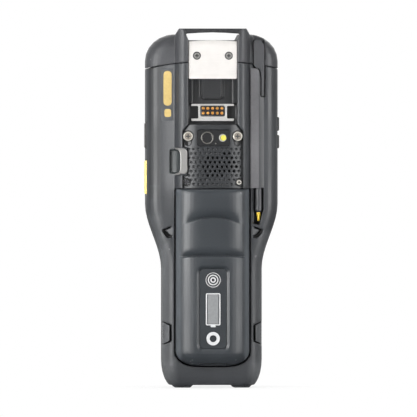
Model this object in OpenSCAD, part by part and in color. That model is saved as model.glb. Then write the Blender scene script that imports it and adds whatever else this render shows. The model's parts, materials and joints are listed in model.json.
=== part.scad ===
// Portable barcode data terminal with a grip battery and a stylus.
// Stands upright on the feet of its grip: +Z runs up to the head, the back is at -Y, the keypad at +Y.

/* [Body] */

// Half width of the grip
grip_half = 32.5; // [28:0.5:38]

// Half width of the head
head_half = 42.9; // [38:0.5:50]

// Height of the head above the battery
head_length = 100.6; // [98:0.2:110]

// Height over which the grip widens into the head
flare_length = 42; // [36:1:50]

// Distance of the back surface from the middle
back_depth = 16; // [14:0.5:18]

// Distance of the keypad surface from the middle
grip_front = 21.5; // [19:0.5:24]

// Distance of the display surface from the middle
head_front = 23.5; // [21:0.5:26]

// Thickness of the housing shells
wall = 2.4; // [1.8:0.1:3]

// Height of the two feet
foot_height = 1.7; // [1:0.1:2.5]

/* [Rear spine] */

// Half width of the channel between the rails
channel_half = 15.9; // [14:0.1:17]

// Outer edge of the rails
rail_outer = 24.3; // [22:0.1:26]

// How far the rails stand out from the middle
rail_depth = 22; // [20.5:0.1:24]

// How far the strap bar stands above the head
bar_rise = 3.6; // [3:0.1:8]

// Length of the rear plate
plate_length = 25.1; // [22:0.1:26]

/* [Battery] */

// Half width of the battery
battery_half = 24.2; // [22:0.1:26]

// Lower end of the battery
battery_low = 14.3; // [12:0.1:18]

// Length of the battery
battery_length = 115.2; // [108:0.1:118]

// How far the crown of the battery stands out from the middle
battery_depth = 25.5; // [24:0.1:28]

// Depth of the battery bay's floor from the middle
bay_floor = 3; // [2:0.1:4]

// Radius of a battery cell
cell_radius = 9; // [7:0.1:9.2]

/* [Stylus] */

// Radius of the stylus barrel
stylus_radius = 2.6; // [2:0.1:3]

// Distance of the stylus from the middle line
stylus_x = 30.2; // [29:0.1:31]

// Length of the stylus
stylus_length = 117.8; // [112:0.2:122]

/* [Keypad and display] */

// Spacing of the key columns
key_pitch_x = 15; // [13:0.1:16]

// Spacing of the key rows
key_pitch_z = 13; // [11:0.1:14]

// Travel of the keys
key_travel = 0.6; // [0.4:0.1:1]

// Width of the display's glass
glass_width = 62; // [50:0.5:66]

// Height of the display's glass
glass_height = 78; // [60:0.5:80]

/* [Fits] */

// Gap round fixed pieces
fit_gap = 0.3; // [0.3:0.05:0.5]

// Gap between the battery and the sides of its bay
bay_gap = 0.6; // [0.4:0.05:0.8]

// Gap round a screw head in its seat
seat_gap = 0.35; // [0.3:0.05:0.6]

/* [Hidden] */
$fn = 64;
tiny = 0.01;

// The head stands above the battery, and all of its features are set from its lower edge
battery_top = battery_low + battery_length;
head_low = battery_top + fit_gap;
body_top = head_low + head_length;
bar_top = body_top + bar_rise;
bar_thick = 2.9;
bar_low = bar_top - bar_thick;
flare_high = head_low - 9.8;
flare_low = flare_high - flare_length;

// Feet and rounded ends of the housing
end_low_height = 18.5;
end_low_drop = 8.5;
end_top_height = 17.4;
end_top_drop = 19;
depth_drop = 4.5;
corner_back = 9;
corner_front = 8;
ring_steps = 6;
flare_steps = 9;
end_steps = 6;

// The head cap's seam is one large arc
seam_radius = 200;
seam_drop = 17.7;
seam_centre = body_top - seam_drop - seam_radius;
seam_low = body_top - 30;

// The two shells meet on a seal
split_y = 4;
seal_half = 0.4;

// Strap slot between the horns
slot_half = 15.7;
slot_low = body_top - 4;
bar_back = 20.9;
bar_front = 14;

// Rear plate, recess and connector
plate_low = slot_low - plate_length;
plate_face = 20.4;
plate_thick = 1.5;
cover_length = 41.7;
recess_low = head_low + cover_length;
recess_floor = 14;
bed_thick = 2;
bay_half = battery_half + bay_gap;
bay_low = battery_low - fit_gap;
bay_top = battery_top + fit_gap;

// Keypad block
key_width = 11.8;
key_height = 9.4;
pad_margin = 4.6;
pad_half = key_pitch_x + key_width / 2 + pad_margin;
pad_high = head_low - 11.8;
key_row_top = pad_high - 14;
key_row_low = key_row_top - 19 - 4 * key_pitch_z;
pad_low = key_row_low - key_height / 2 - pad_margin;
bezel_thick = 2.2;
bezel_face = grip_front + 0.4;
bezel_back = bezel_face - bezel_thick;
key_face = bezel_face + 1.4;
mat_face = bezel_back - 1.8 - key_travel;
board_face = 14.5;
board_thick = 1.6;

// The display
glass_half = glass_width / 2;
glass_low = head_low - 5.8;
glass_high = glass_low + glass_height;
glass_thick = 1.6;

function share(t) = min(1, max(0, t));

function ease(t) = let (s = share(t)) s * s * (3 - 2 * s);

// How far a quarter circle has turned away, from 0 to 1
function quarter(t) = let (u = share(t)) 1 - sqrt(1 - u * u);

function flare(z) = ease((z - flare_low) / (flare_high - flare_low));

// How much an end's rounding takes off at this height, from 0 to 1
function end_low(z) = quarter((end_low_height - z) / end_low_height);

function end_top(z) = quarter((z - body_top + end_top_height) / end_top_height);

function half_width(z) =
    grip_half + (head_half - grip_half) * flare(z)
    - end_low_drop * end_low(z) - end_top_drop * end_top(z);

function back_y(z) = -back_depth + depth_drop * (end_low(z) + end_top(z));

function front_y(z) =
    grip_front + (head_front - grip_front) * flare(z) - depth_drop * (end_low(z) + end_top(z));

heights = concat(
    [for (i = [0 : end_steps])
        foot_height + (end_low_height - foot_height) * (1 - cos(90 * i / end_steps))],
    [for (i = [0 : flare_steps]) flare_low + (flare_high - flare_low) * i / flare_steps],
    [for (i = [0 : end_steps]) body_top - end_top_height + (end_top_height - 0.1) * sin(90 * i / end_steps)]
);

function corner(cx, cy, r, start) =
    [for (i = [0 : ring_steps])
        let (a = start + 90 * i / ring_steps) [cx + r * cos(a), cy + r * sin(a)]];

// One level section of the housing, drawn in by an inset
function ring(z, inset) =
    let (
        w = half_width(z) - inset,
        back = back_y(z) + inset,
        front = front_y(z) - inset,
        rb = corner_back - inset,
        rf = corner_front - inset
    )
    concat(
        corner(w - rb, back + rb, rb, -90),
        corner(w - rf, front - rf, rf, 0),
        corner(-w + rf, front - rf, rf, 90),
        corner(-w + rb, back + rb, rb, 180)
    );

// A skin over rings of points from the lowest to the highest, closed at both ends
module loft(rings) {
    count = len(rings[0]);
    last = len(rings) - 1;
    sides = [for (k = [0 : last - 1]) for (i = [0 : count - 1])
        let (j = (i + 1) % count)
            [k * count + i, (k + 1) * count + i, (k + 1) * count + j, k * count + j]];
    polyhedron(
        points = [for (one = rings) for (p = one) p],
        faces = concat(
            [[for (i = [0 : count - 1]) i]],
            sides,
            [[for (i = [0 : count - 1]) (last + 1) * count - 1 - i]]
        )
    );
}

// The housing's volume, drawn in by an inset on all sides
module body(inset = 0) {
    levels = [for (z = heights) min(body_top - inset, max(foot_height + inset, z))];
    used = [for (i = [0 : len(levels) - 1]) if (i == 0 || levels[i] - levels[i - 1] > 0.2) levels[i]];
    loft([for (z = used) [for (p = ring(z, inset)) [p[0], p[1], z]]]);
}

// Extrudes an outline drawn in X and Z from one depth to another
module through(y0, y1) {
    translate([0, y1, 0]) rotate([90, 0, 0]) linear_extrude(height = y1 - y0) children();
}

// An outline drawn in X and Y, extruded between two heights
module upright(z0, z1) {
    translate([0, 0, z0]) linear_extrude(height = z1 - z0) children();
}

// An outline drawn in Y and Z, extruded from one side to the other
module across(x0, x1) {
    translate([x0, 0, 0]) rotate([90, 0, 90]) linear_extrude(height = x1 - x0) children();
}

// A box between two corners
module block(a, b) {
    translate(a) cube(b - a);
}

// A rod along Y
module rod_y(x, z, r, y0, y1) {
    translate([x, y0, z]) rotate([-90, 0, 0]) cylinder(r = r, h = y1 - y0);
}

// A rounded rectangle between two corners
module rounded(x0, z0, x1, z1, r) {
    translate([x0 + r, z0]) square([x1 - x0 - 2 * r, z1 - z0]);
    translate([x0, z0 + r]) square([x1 - x0, z1 - z0 - 2 * r]);
    for (x = [x0 + r, x1 - r])
        for (z = [z0 + r, z1 - r])
            translate([x, z]) circle(r);
}

// The display's outline and the keypad's, drawn in by an inset
module glass_outline(inset, r) {
    rounded(-glass_half + inset, glass_low + inset, glass_half - inset, glass_high - inset, r);
}

module pad_outline(inset, r) {
    rounded(-pad_half + inset, pad_low + inset, pad_half - inset, pad_high - inset, r);
}

module mirrored() {
    children();
    mirror([1, 0, 0]) children();
}

// The two feet under the grip
module feet() {
    intersection() {
        mirrored() through(-12, 17.5) polygon([
            [11.6, foot_height + 1], [14.4, 0], [24.2, 0],
            [26.5, foot_height + 0.5], [26.5, foot_height + 1]
        ]);
        upright(-1, foot_height + 2) rounded(-26.5, -12, 26.5, 17.5, 8);
    }
}

// Everything below the arc of the cap's seam
module seam_disc(gap) {
    rod_y(0, seam_centre, seam_radius + gap, -40, 40);
}

// The two rails of the spine, in X and Y
module rail_outline() {
    polygon([
        [rail_outer, -back_depth + 4],
        [rail_outer, -back_depth - 0.4],
        [rail_outer - 0.8, -back_depth - 2],
        [rail_outer - 2.2, -rail_depth + 1.9],
        [rail_outer - 4, -rail_depth + 0.55],
        [rail_outer - 5.6, -rail_depth],
        [channel_half + 0.7, -rail_depth + 0.1],
        [channel_half, -rail_depth + 0.7],
        [channel_half, -back_depth + 4]
    ]);
}

// The camera cover's outline, drawn in by an inset
module cover_outline(inset) {
    top_half = 15.5 - inset;
    low_half = 19.6 - inset;
    polygon([
        [-top_half, recess_low - inset],
        [top_half, recess_low - inset],
        [low_half, recess_low - 4.5 - inset],
        [low_half, head_low + inset],
        [-low_half, head_low + inset],
        [-low_half, strap_low - 0.2 - inset],
        [-16.4 + inset, strap_low - 0.2 - inset],
        [-16.4 + inset, strap_high + 0.2 + inset],
        [-low_half, strap_high + 0.2 + inset],
        [-low_half, recess_low - 4.5 - inset]
    ]);
}

// Inner edge of the horns, which lean outwards to the top
horn_spread = 3.6;
function horn_inner(z) = slot_half + horn_spread * (z - slot_low) / (bar_top - slot_low);

// The right horn's outline in X and Z, carrying on the rail
module horn_outline() {
    polygon([
        [channel_half - 0.1, seam_low - 1], [rail_outer + 0.2, seam_low - 1],
        [rail_outer + 0.2, body_top - 0.6], [21.9, bar_top], [horn_inner(bar_top), bar_top],
        [channel_half - 0.1, slot_low]
    ]);
}

// The opening between the horns
module horn_gap() {
    top = bar_top + 10;
    half = horn_inner(top);
    polygon([[-slot_half, slot_low], [slot_half, slot_low], [half, top], [-half, top]]);
}

// The strap bar, with an arched underside
module strap_bar() {
    end = horn_inner(bar_top) + 0.6;
    foot = horn_inner(bar_low) + 0.4;
    through(-bar_back, -bar_front) polygon([
        [-end, bar_top], [end, bar_top], [foot, bar_low - 0.5], [8, bar_low + 0.15],
        [0, bar_low + 0.4], [-8, bar_low + 0.15], [-foot, bar_low - 0.5]
    ]);
}

// A quarter of an ellipse, as points from its side to its end
function bend(cx, cz, rx, rz, start, steps = 10) =
    [for (i = [0 : steps]) let (a = start + 90 * i / steps) [cx + rx * cos(a), cz + rz * sin(a)]];

// The battery's outline from behind, with rounded lower corners
corner_wide = 14;
corner_high = 9.6;

module battery_face(grow = 0) {
    h = battery_half + grow;
    low = battery_low - grow;
    polygon(concat(
        [[-h, head_low], [h, head_low]],
        bend(h - corner_wide, low + corner_high, corner_wide, -corner_high, 0),
        bend(-h + corner_wide, low + corner_high, corner_wide, -corner_high, 90)
    ));
}

// Finger ledges across the battery: lip, height and depth of the scoop above it, where it fades out
lip_high = battery_top - 18.5;
lip_low = battery_top - 43.5;
lip_face = 0.35;
scoop_high = [lip_high, 6.4, 2.2, 8, 20.5];
scoop_low = [lip_low, 6, 2.2, 15, 24];

// The battery's gauge recess, its button, small display and badge
gauge_floor = battery_depth - 2.3;
gauge_low = battery_low + 11.2;
gauge_high = battery_low + 63.5;
gauge_half = 8.8;
gauge_corner = 2.8;
gauge_edge = 2.2;
gauge_dip = 1.3;
gauge_display_low = battery_low + 27.4;
gauge_display_high = battery_low + 46.4;
badge_z = battery_low + 17.8;
gauge_button_z = battery_low + 56;
gauge_button_radius = 4.87;

// Columns of the battery's skin, as shares of its half width, and its rows
skin_half = [
    1, 0.985, 0.95, 0.9, 0.84, 0.78, 0.7, 0.62, 0.53, 0.45, 0.42, 0.39, 0.36, 0.33, 0.29, 0.24, 0.12
];
skin_columns = concat(
    [for (c = skin_half) -c], [0], [for (i = [len(skin_half) - 1 : -1 : 0]) skin_half[i]]
);
skin_rows = concat(
    [for (v = [0, 0.3, 0.8, 1.6, 2.8, 4.2, 6, 8, 9.6]) battery_low + v],
    [for (v = [-1.6, -1, -0.4, 0.3, 1.2, 2.4]) gauge_low + v],
    [for (v = [-2.4, -1.2, -0.3, 0.4, 1, 1.6]) gauge_high + v],
    [for (v = [-3, -lip_face, 0, 0.8, 1.7, 2.8, 4.2, 6, 9, 13, 18]) lip_low + v],
    [for (v = [-3, -lip_face, 0, 0.8, 1.8, 3, 4.5, 6.4, 9.4]) lip_high + v],
    [for (v = [-5, -3.4, -2, -0.9, -0.3, 0]) battery_top + v]
);

// Half width and crown of the battery at a height
function battery_wide(z) =
    battery_half - corner_wide * quarter((battery_low + corner_high - z) / corner_high);

function battery_crown(z) =
    battery_depth - 6.5 * quarter((battery_low + 9 - z) / 9) - 2.4 * quarter((z - battery_top + 5) / 5);

// How far the rows bow down at the sides, so that they follow the lips
function row_bow(z) =
    lookup(z, [[lip_low - 3, 0], [lip_low, 0.0026], [lip_high, 0.012], [lip_high + 9, 0]]);

function scoop(x, z, s) =
    z < s[0] - tiny ? 0 :
    s[2] * pow(1 - share((z - s[0]) / s[1]), 2) * (1 - ease((abs(x) - s[3]) / (s[4] - s[3])));

// The hollow falls away inside a rounded rectangle, over a rim that is gauge_edge wide
function gauge_hollow(x, z) =
    let (dx = max(0, abs(x) - gauge_half + gauge_corner),
         dz = max(0, gauge_low + gauge_corner - z, z - gauge_high + gauge_corner))
    gauge_dip * (1 - ease((norm([dx, dz]) - gauge_corner) / gauge_edge));

battery_side = 14.5;

function battery_ring(z) =
    let (w = battery_wide(z), f = bay_floor + fit_gap, low = z - row_bow(z) * w * w)
    concat(
        [for (c = skin_columns)
            let (x = c * w, round = sqrt(1 - pow(abs(c), 2.8)))
                [x, -battery_side - (battery_crown(z) - battery_side) * round
                    + scoop(x, z, scoop_high) + scoop(x, z, scoop_low) + gauge_hollow(x, z),
                    z - row_bow(z) * x * x]],
        [[w, -f, low], [-w, -f, low]]
    );

// Two levels of the strap loop's band
strap_low = head_low + 8.6;
strap_high = strap_low + 18;
strap_seat = 21.2;
strap_thick = 0.9;

// Screws that hold the two shells together, in the floor of the battery bay
shell_screw_x = battery_half - 5.5;
shell_screws = [
    for (x = [-shell_screw_x, shell_screw_x])
        for (z = [battery_low + 9.7, battery_top - 9.5]) [x, z]
];
shell_screw_radius = 1.25;
shell_head_radius = 2.4;
boss_radius = 3.8;

// Side keys: lower edge, upper edge
key_side_low = [head_low + 26.1, head_low + 35.1];
key_side_high = [head_low + 37.5, head_low + 46.8];
key_side_left = [head_low + 26.1, head_low + 43];
key_scan_side = [head_low - 3.6, head_low + 18.3];
side_key_back = -8;
side_key_front = 1.5;
side_key_out = head_half + 1;
side_key_in = side_key_out - 5;
side_key_travel = 0.5;

// Release buttons beside the battery
release_low = battery_low + 14;
release_high = release_low + 14.5;
release_in = grip_half - 4.3;
release_travel = 1.2;
release_back = -14.6;
release_front = -6;

// The stylus and its channel
stylus_y = -12.6;
stylus_bore = stylus_radius + 0.35;
cap_gap = 0.7;
stylus_cap_high = body_top - 4.1;
stylus_cap_low = stylus_cap_high - 17.2;
stylus_tail_low = stylus_cap_low - 19;
stylus_low = stylus_cap_high - stylus_length;

// The camera and the sound holes, from the middle line
camera_x = -3.7;
camera_z = head_low + 33;
flash_x = 6.9;
window_left = -10.4;
window_right = 11.2;
window_low = camera_z - 5.5;
window_high = camera_z + 5.3;
cover_screw_low = head_low + 4.1;
cover_screw_side = 17.1;
cover_face = 21;
cover_thick = 1.8;
hole_pitch_x = 3.09;
hole_pitch_z = 2.87;

module release_outline(gap) {
    polygon([
        [release_in - gap, release_low + 2.2 - gap],
        [grip_half + 3, release_low - 1.2 - gap],
        [grip_half + 3, release_high + 1.2 + gap],
        [release_in - gap, release_high - 2.2 + gap]
    ]);
}

// Space for a side key between two heights
module side_key_space(span, gap) {
    block(
        [side_key_in - gap - side_key_travel, side_key_back - gap, span[0] - gap],
        [side_key_out + 4, side_key_front + gap, span[1] + gap]
    );
}

// Solid that stays inside the rear shell
module rear_stays() {
    block([-bay_half - 1.6, -30, bay_low - 2], [bay_half + 1.6, -bay_floor + 2, bay_top + 2]);
    block([-rail_outer, -30, head_low - 2], [rail_outer, -recess_floor + bed_thick, body_top]);
    for (p = shell_screws) rod_y(p[0], p[1], boss_radius, -4, split_y + 1);
    mirrored()
        block([bay_half, -30, release_low - 4], [grip_half + 5, release_front + 2.3, release_high + 4]);
    mirrored() block([bay_half, -30, wedge_low - 4], [38, -7, wedge_low + 12]);
    block([stylus_x - stylus_bore - 1.6, -30, stylus_low - 4.5],
        [stylus_x + stylus_bore + 1.6, stylus_y + stylus_bore + 1.6, body_top]);
    block([side_key_in - 3, side_key_back - 2, key_side_low[0] - 4],
        [60, side_key_front + 2, key_side_high[1] + 4]);
    block([-60, side_key_back - 2, key_scan_side[0] - 4],
        [-side_key_in + 3, side_key_front + 2, key_side_left[1] + 4]);
    block([-29.5, -30, strap_low - 1.4], [-15, -recess_floor + bed_thick + 1, strap_high + 1.6]);
}

// Finger pocket beside the battery: a sloped floor inside a deep groove
wedge_low = flare_high - 22.6;

module wedge_pocket() {
    translate([0, 0, wedge_low]) {
        intersection() {
            through(-40, -8) polygon([
                [26.2, 8.3], [32.9, 5.6], [32.5, 4], [31.4, 2.1], [30.1, 0.8], [28.6, 0.1], [26.2, 0.3]
            ]);
            translate([25.8, -back_depth, -2]) rotate([0, 0, 20])
                translate([-2, -20, 0]) cube([20, 20, 16]);
        }
        // deep groove along its upper, outer and lower edges
        through(-40, -back_depth + 4) polygon([
            [26.2, 8.3], [32.9, 5.6], [32.5, 4], [31.4, 2.1], [30.1, 0.8], [28.6, 0.1], [26.2, 0.3],
            [26.2, 1.7], [27.5, 1.9], [28.4, 2.7], [29.5, 3.9], [30.9, 5.3], [26.2, 7.2]
        ]);
    }
}

// The stylus channel is wider at its open lower end, and drawn in round the tip
module stylus_space() {
    low = stylus_low - 2;
    high = low + 2 * stylus_length;
    left = stylus_x - stylus_bore;
    right = stylus_x + stylus_bore;
    translate([stylus_x, stylus_y, low]) cylinder(r = stylus_bore, h = high - low);
    through(-30, stylus_y) polygon([
        [left - 1.15, head_low], [left - 1.15, low + 0.5], [stylus_x + 0.5, low - 0.3],
        [right - 0.9, low + 6.6], [right, low + 9], [right, high], [left, high], [left, head_low]
    ]);
}

module strap_pocket() {
    block([-27.7, -30, strap_low + 1.5], [-16.6, -recess_floor - 0.2, strap_high - 1.3]);
    upright(strap_low - 0.2, strap_high + 0.2) strap_outline(0.2, 5);
}

// The strap loop's band in X and Y: flat over the rail, then leaning outwards
module strap_outline(gap, extra) {
    polygon([
        [-16.7 + gap, -strap_seat],
        [-16.7 + gap, -strap_seat - strap_thick + 0.5 - extra],
        [-17.4 + gap, -strap_seat - strap_thick - extra],
        [-21.1 - gap, -strap_seat - strap_thick - extra],
        [-25.2 - gap, -back_depth - 1.2 - extra],
        [-25.2 - gap, -back_depth],
        [-24.4 + gap, -back_depth],
        [-20.9 + gap, -strap_seat]
    ]);
}

// Ramp and tongue between the connector and the rear plate
module recess_tongue() {
    low = plate_low - 13.1;
    through(-recess_floor - 2.6, -recess_floor + tiny) rounded(-6.6, low, 5.5, plate_low + 2, 0.8);
    through(-recess_floor - 1.4, -recess_floor + tiny) rounded(-7.7, low + 0.8, 6.9, plate_low + 2, 0.8);
}

// Sloped walls along both sides of the recess
module recess_slopes() {
    mirrored() upright(frame_high + 0.4, plate_low + 8) polygon([
        [channel_half - wall, -recess_floor + tiny], [channel_half + tiny, -plate_face + plate_thick + 0.5],
        [channel_half + tiny, -recess_floor + tiny]
    ]);
}

// The recess from behind
module recess_outline() {
    rounded(-channel_half, recess_low - fit_gap, channel_half, bar_top, 1);
}

module rear_housing() {
    color([0.36, 0.37, 0.38]) {
        rear_shell();
        recess_tongue();
        recess_slopes();
    }
}

module rear_shell() {
    difference() {
        intersection() {
            union() {
                body();
                feet();
                mirrored() upright(head_low, body_top - 10) rail_outline();
            }
            block([-60, -40, -10], [60, split_y - seal_half, bar_top]);
            seam_disc(-0.15);
        }
        difference() {
            body(wall);
            rear_stays();
        }
        // battery bay
        intersection() {
            through(-40, -bay_floor) battery_face(bay_gap);
            block([-bay_half, -40, 0], [bay_half, 0, head_low + 20]);
        }
        battery_contact_space();
        // spine
        through(-40, -cover_face + cover_thick) cover_outline(-0.3);
        through(-40, -recess_floor) recess_outline();
        camera_space();
        mirrored() {
            rod_y(cover_screw_x, cover_screw_z, shoulder_shank + 0.05, -21, -13.2);
            rod_y(cover_screw_side, cover_screw_low, 1.3, -21, -13.5);
        }
        strap_pocket();
        stylus_space();
        through(-40, -9.2) stylus_cap_outline(cap_gap);
        // side keys
        for (span = [key_side_low, key_side_high]) side_key_space(span, fit_gap);
        mirror([1, 0, 0]) for (span = [key_scan_side, key_side_left]) side_key_space(span, fit_gap);
        // release buttons and the wedge pockets above them
        mirrored() through(release_back - 5, release_front + fit_gap)
            translate([-release_travel, 0]) release_outline(fit_gap);
        mirrored() wedge_pocket();
        for (p = shell_screws) {
            rod_y(p[0], p[1], shell_head_radius + seat_gap, -5, -1);
            rod_y(p[0], p[1], shell_screw_radius + 0.15, -5, split_y + 2);
        }
    }
}

// Large screws of the camera cover
cover_screw_x = 16.15;
cover_screw_z = camera_z + 1;
shoulder_shank = 1.5;
shoulder_head = 3.15;

module camera_space() {
    block([window_left - 1, -30, window_low - 1], [window_right + 1, -12.9, window_high + 1]);
    rod_y(speaker_x, speaker_z, 8.9, -30, -13.6);
}

// Window in the bay's floor where the battery's contacts meet the board's
terminals_low = battery_top - 27.5;
terminals_high = terminals_low + 6;

module battery_contact_space() {
    block([-7.3, -6, terminals_low - fit_gap], [7.3, 3, terminals_high + fit_gap]);
}

module front_stays() {
    for (p = shell_screws) {
        rod_y(p[0], p[1], boss_radius, split_y - 1, board_face - board_thick - 0.3);
        side = sign(p[0]);
        translate([p[0] + (side < 0 ? -30 : 0), split_y - 1, p[1] - 1]) cube([30, 9, 2]);
    }
    block([-pad_half - 2, board_face, pad_low - 2], [pad_half + 2, 40, pad_high + 2]);
    block([-glass_half - 2, head_front - 3, glass_low - 2], [glass_half + 2, 40, glass_high + 2]);
}

module front_housing() {
    color([0.36, 0.37, 0.38])
    difference() {
        intersection() {
            union() {
                body();
                feet();
                through(head_front - 3, head_front + 2) difference() {
                    rounded(-glass_half - 5, glass_low - 3, glass_half + 5, glass_high + 4, 6);
                    glass_outline(1.5, 3);
                }
            }
            block([-60, split_y + seal_half, -10], [60, 40, bar_top]);
            seam_disc(-0.15);
        }
        difference() {
            body(wall);
            front_stays();
        }
        through(head_front - 0.4, 40) glass_outline(0, 4);
        through(10, 40) glass_outline(3.5, 2);
        through(bezel_back, 40) pad_outline(0, 4);
        through(10, 40) pad_outline(2, 3);
        for (p = shell_screws) rod_y(p[0], p[1], shell_screw_radius + 0.02, split_y - 2, 12.2);
        block([-dock_half - 0.1, dock_back - 0.1, -1], [dock_half + 0.1, dock_front + 0.1, 8]);
    }
}

module housing_seal() {
    color([0.1, 0.1, 0.1])
    difference() {
        intersection() {
            body(0.5);
            block([-60, split_y - seal_half, -10], [60, split_y + seal_half, bar_top]);
            seam_disc(-0.6);
        }
        body(wall);
    }
}

module housing_screws() {
    color([0.7, 0.7, 0.7])
    for (p = shell_screws) {
        difference() {
            rod_y(p[0], p[1], shell_head_radius, -bay_floor + 0.1, -1);
            rod_y(p[0], p[1], 1.1, -bay_floor - 1, -bay_floor + 1.1);
        }
        rod_y(p[0], p[1], shell_screw_radius, -1 - tiny, 12);
    }
}

// Scan window in the top of the head
scan_half = 13;
scan_back = 5;
scan_front = 15;
scan_thick = 1.6;
scan_low = slot_low - 0.4 - scan_thick;

// Solid that stays inside the head cap
module cap_stays() {
    block([-rail_outer, -30, seam_low], [rail_outer, -recess_floor + bed_thick, bar_top]);
    block([stylus_x - stylus_bore - 1.6, -30, seam_low],
        [stylus_x + stylus_bore + 1.6, stylus_y + stylus_bore + 1.6, bar_top]);
    block([-rail_outer, -30, slot_low - 2.6], [rail_outer, 40, bar_top]);
}

// Plate inside the cap that closes the seam from front to back
module seam_plate() {
    low = body_top - 26;
    turn = body_top - 14.6;
    top = body_top - 11;
    through(0, 1.2) polygon([
        [-head_half + 3.2, low], [head_half - 3.2, low], [head_half - 3.2, turn], [head_half - 1.4, turn],
        [head_half - 1.4, top], [-head_half + 1.4, top], [-head_half + 1.4, turn], [-head_half + 3.2, turn]
    ]);
}

module head_cap() {
    color([0.42, 0.43, 0.44])
    union() {
        seam_plate();
        difference() {
            union() {
                body();
                mirrored() intersection() {
                    upright(seam_low, bar_top) rail_outline();
                    through(-40, 0) horn_outline();
                }
            }
            seam_disc(0.15);
            difference() {
                body(wall);
                cap_stays();
            }
            through(-40, 40) horn_gap();
            // bed of the rear plate
            block([-channel_half, -40, seam_low],
                [channel_half, -plate_face + plate_thick, slot_low + tiny]);
            for (x = [-plate_screw_x, plate_screw_x]) rod_y(x, plate_screw_z, 1.25, -20, -13);
            // scan window
            block([-scan_half, scan_back, slot_low - 6], [scan_half, scan_front, bar_top]);
            stylus_space();
            through(-40, -9.2) stylus_cap_outline(fit_gap, 20);
        }
        strap_bar();
    }
}

plate_screw_x = 10.4;
plate_screw_z = plate_low + 15;
plate_screw_head = 2.6;

// Outline of the stylus cap from behind
module stylus_cap_outline(gap, extra = 0) {
    polygon([
        [26.9 - gap, stylus_cap_low + 1.2 - gap],
        [27.7 - gap, stylus_cap_low - gap],
        [29.4 - gap, stylus_cap_low - 0.4 - gap],
        [30.7 - gap, stylus_cap_low - 1.5 - gap],
        [31.5 - gap, stylus_cap_low - 3.5 - gap],
        [31.9 - gap, stylus_cap_low - 6.5 - gap],
        [31.9 - gap, stylus_tail_low - gap],
        [33.5 + gap, stylus_tail_low - gap],
        [33.7 + gap, stylus_cap_low],
        [33.7 + gap, stylus_cap_high - 3 + extra],
        [31.5 + gap, stylus_cap_high + extra],
        [27.6 - gap, stylus_cap_high + extra],
        [26.9 - gap, stylus_cap_high - 1 + extra]
    ]);
}

module mount_plate() {
    half = channel_half - 0.25;
    color([0.9, 0.88, 0.86])
    difference() {
        intersection() {
            through(-plate_face, -plate_face + plate_thick) polygon([
                [-half, plate_low + 0.5], [-half + 0.5, plate_low],
                [half - 0.5, plate_low], [half, plate_low + 0.5], [half, slot_low - 0.8],
                [8, slot_low - 0.3], [0, slot_low - 0.1],
                [-8, slot_low - 0.3], [-half, slot_low - 0.8]
            ]);
            // the upper end leans away
            across(-channel_half, channel_half) polygon([
                [-plate_face + 2, plate_low - 1], [-plate_face - 1, plate_low - 1],
                [-plate_face - 1, slot_low - 4.4], [-plate_face, slot_low - 4.4],
                [-plate_face + 1.2, slot_low], [-plate_face + 2, slot_low]
            ]);
        }
        for (x = [-plate_screw_x, plate_screw_x]) {
            rod_y(x, plate_screw_z, 1.25, -22, -15);
            translate([x, -plate_face - tiny, plate_screw_z]) rotate([-90, 0, 0])
                cylinder(r1 = plate_screw_head + 0.1, r2 = 1.3, h = 1.3);
        }
    }
}

module mount_plate_screws() {
    color([0.5, 0.5, 0.5])
    mirrored() translate([plate_screw_x, -plate_face + 0.1, plate_screw_z]) rotate([-90, 0, 0])
        difference() {
            union() {
                cylinder(r1 = plate_screw_head - 0.15, r2 = 1.15, h = 1.2);
                cylinder(r = 1.15, h = 6.2);
            }
            translate([0, 0, -1]) cylinder(r = 1.2, h = 1.8, $fn = 6);
        }
}

// Accessory connector
frame_half = 13.9;
frame_low = head_low + 44;
frame_high = frame_low + 11.1;
frame_bar_low = frame_low + 1.6;
frame_bar_high = frame_high - 1.3;
insert_half = 8.1;
insert_low = frame_low + 3;
insert_high = frame_low + 9.9;
contact_pitch = 3.05;
contact_radius = 0.95;
contact_rows = [frame_low + 5.1, frame_low + 8.2];
connector_face = 17.6;

module connector_frame() {
    color([0.8, 0.8, 0.8])
    difference() {
        through(-connector_face, -recess_floor)
            rounded(-frame_half, frame_low, frame_half, frame_high, 0.8);
        mirrored() through(-30, 0) rounded(9.3, frame_bar_low, frame_half + 3, frame_bar_high, 0.8);
        through(-30, 0) insert_outline(0.1);
        through(-30, -connector_face + 0.5) rounded(-8.7, insert_low - 0.7, 8.7, insert_high + 0.7, 1.4);
    }
}

module insert_outline(grow) {
    rounded(-insert_half - grow, insert_low - grow, insert_half + grow, insert_high + grow, 1.2 + grow);
}

module connector_block() {
    color([0.1, 0.1, 0.1])
    difference() {
        through(-connector_face + 1, -recess_floor) insert_outline(0);
        connector_holes(contact_radius + 0.05);
    }
}

module connector_holes(r) {
    for (i = [-2 : 2])
        for (z = contact_rows)
            rod_y(i * contact_pitch, z, r, -connector_face - 1, -recess_floor - 0.8);
}

module connector_contacts() {
    color([0.85, 0.65, 0.3])
    for (i = [-2 : 2])
        for (z = contact_rows) {
            rod_y(i * contact_pitch, z, contact_radius, -connector_face + 0.9, -recess_floor - 0.8);
            translate([i * contact_pitch, -connector_face + 0.9, z]) rotate([90, 0, 0])
                cylinder(r1 = contact_radius, r2 = contact_radius - 0.4, h = 0.4);
        }
}

// The holes that go through in each row of the sound grille, the rest being blind dimples
sound_first = [0, 7, 4, 3, 3, 3, 4, 0, 0];
sound_count = [0, 2, 6, 7, 8, 7, 4, 0, 0];
sound_hole = 0.86;
dimple = 0.72;
dimple_depth = 0.7;
grille_top = head_low + 25.7;

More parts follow.
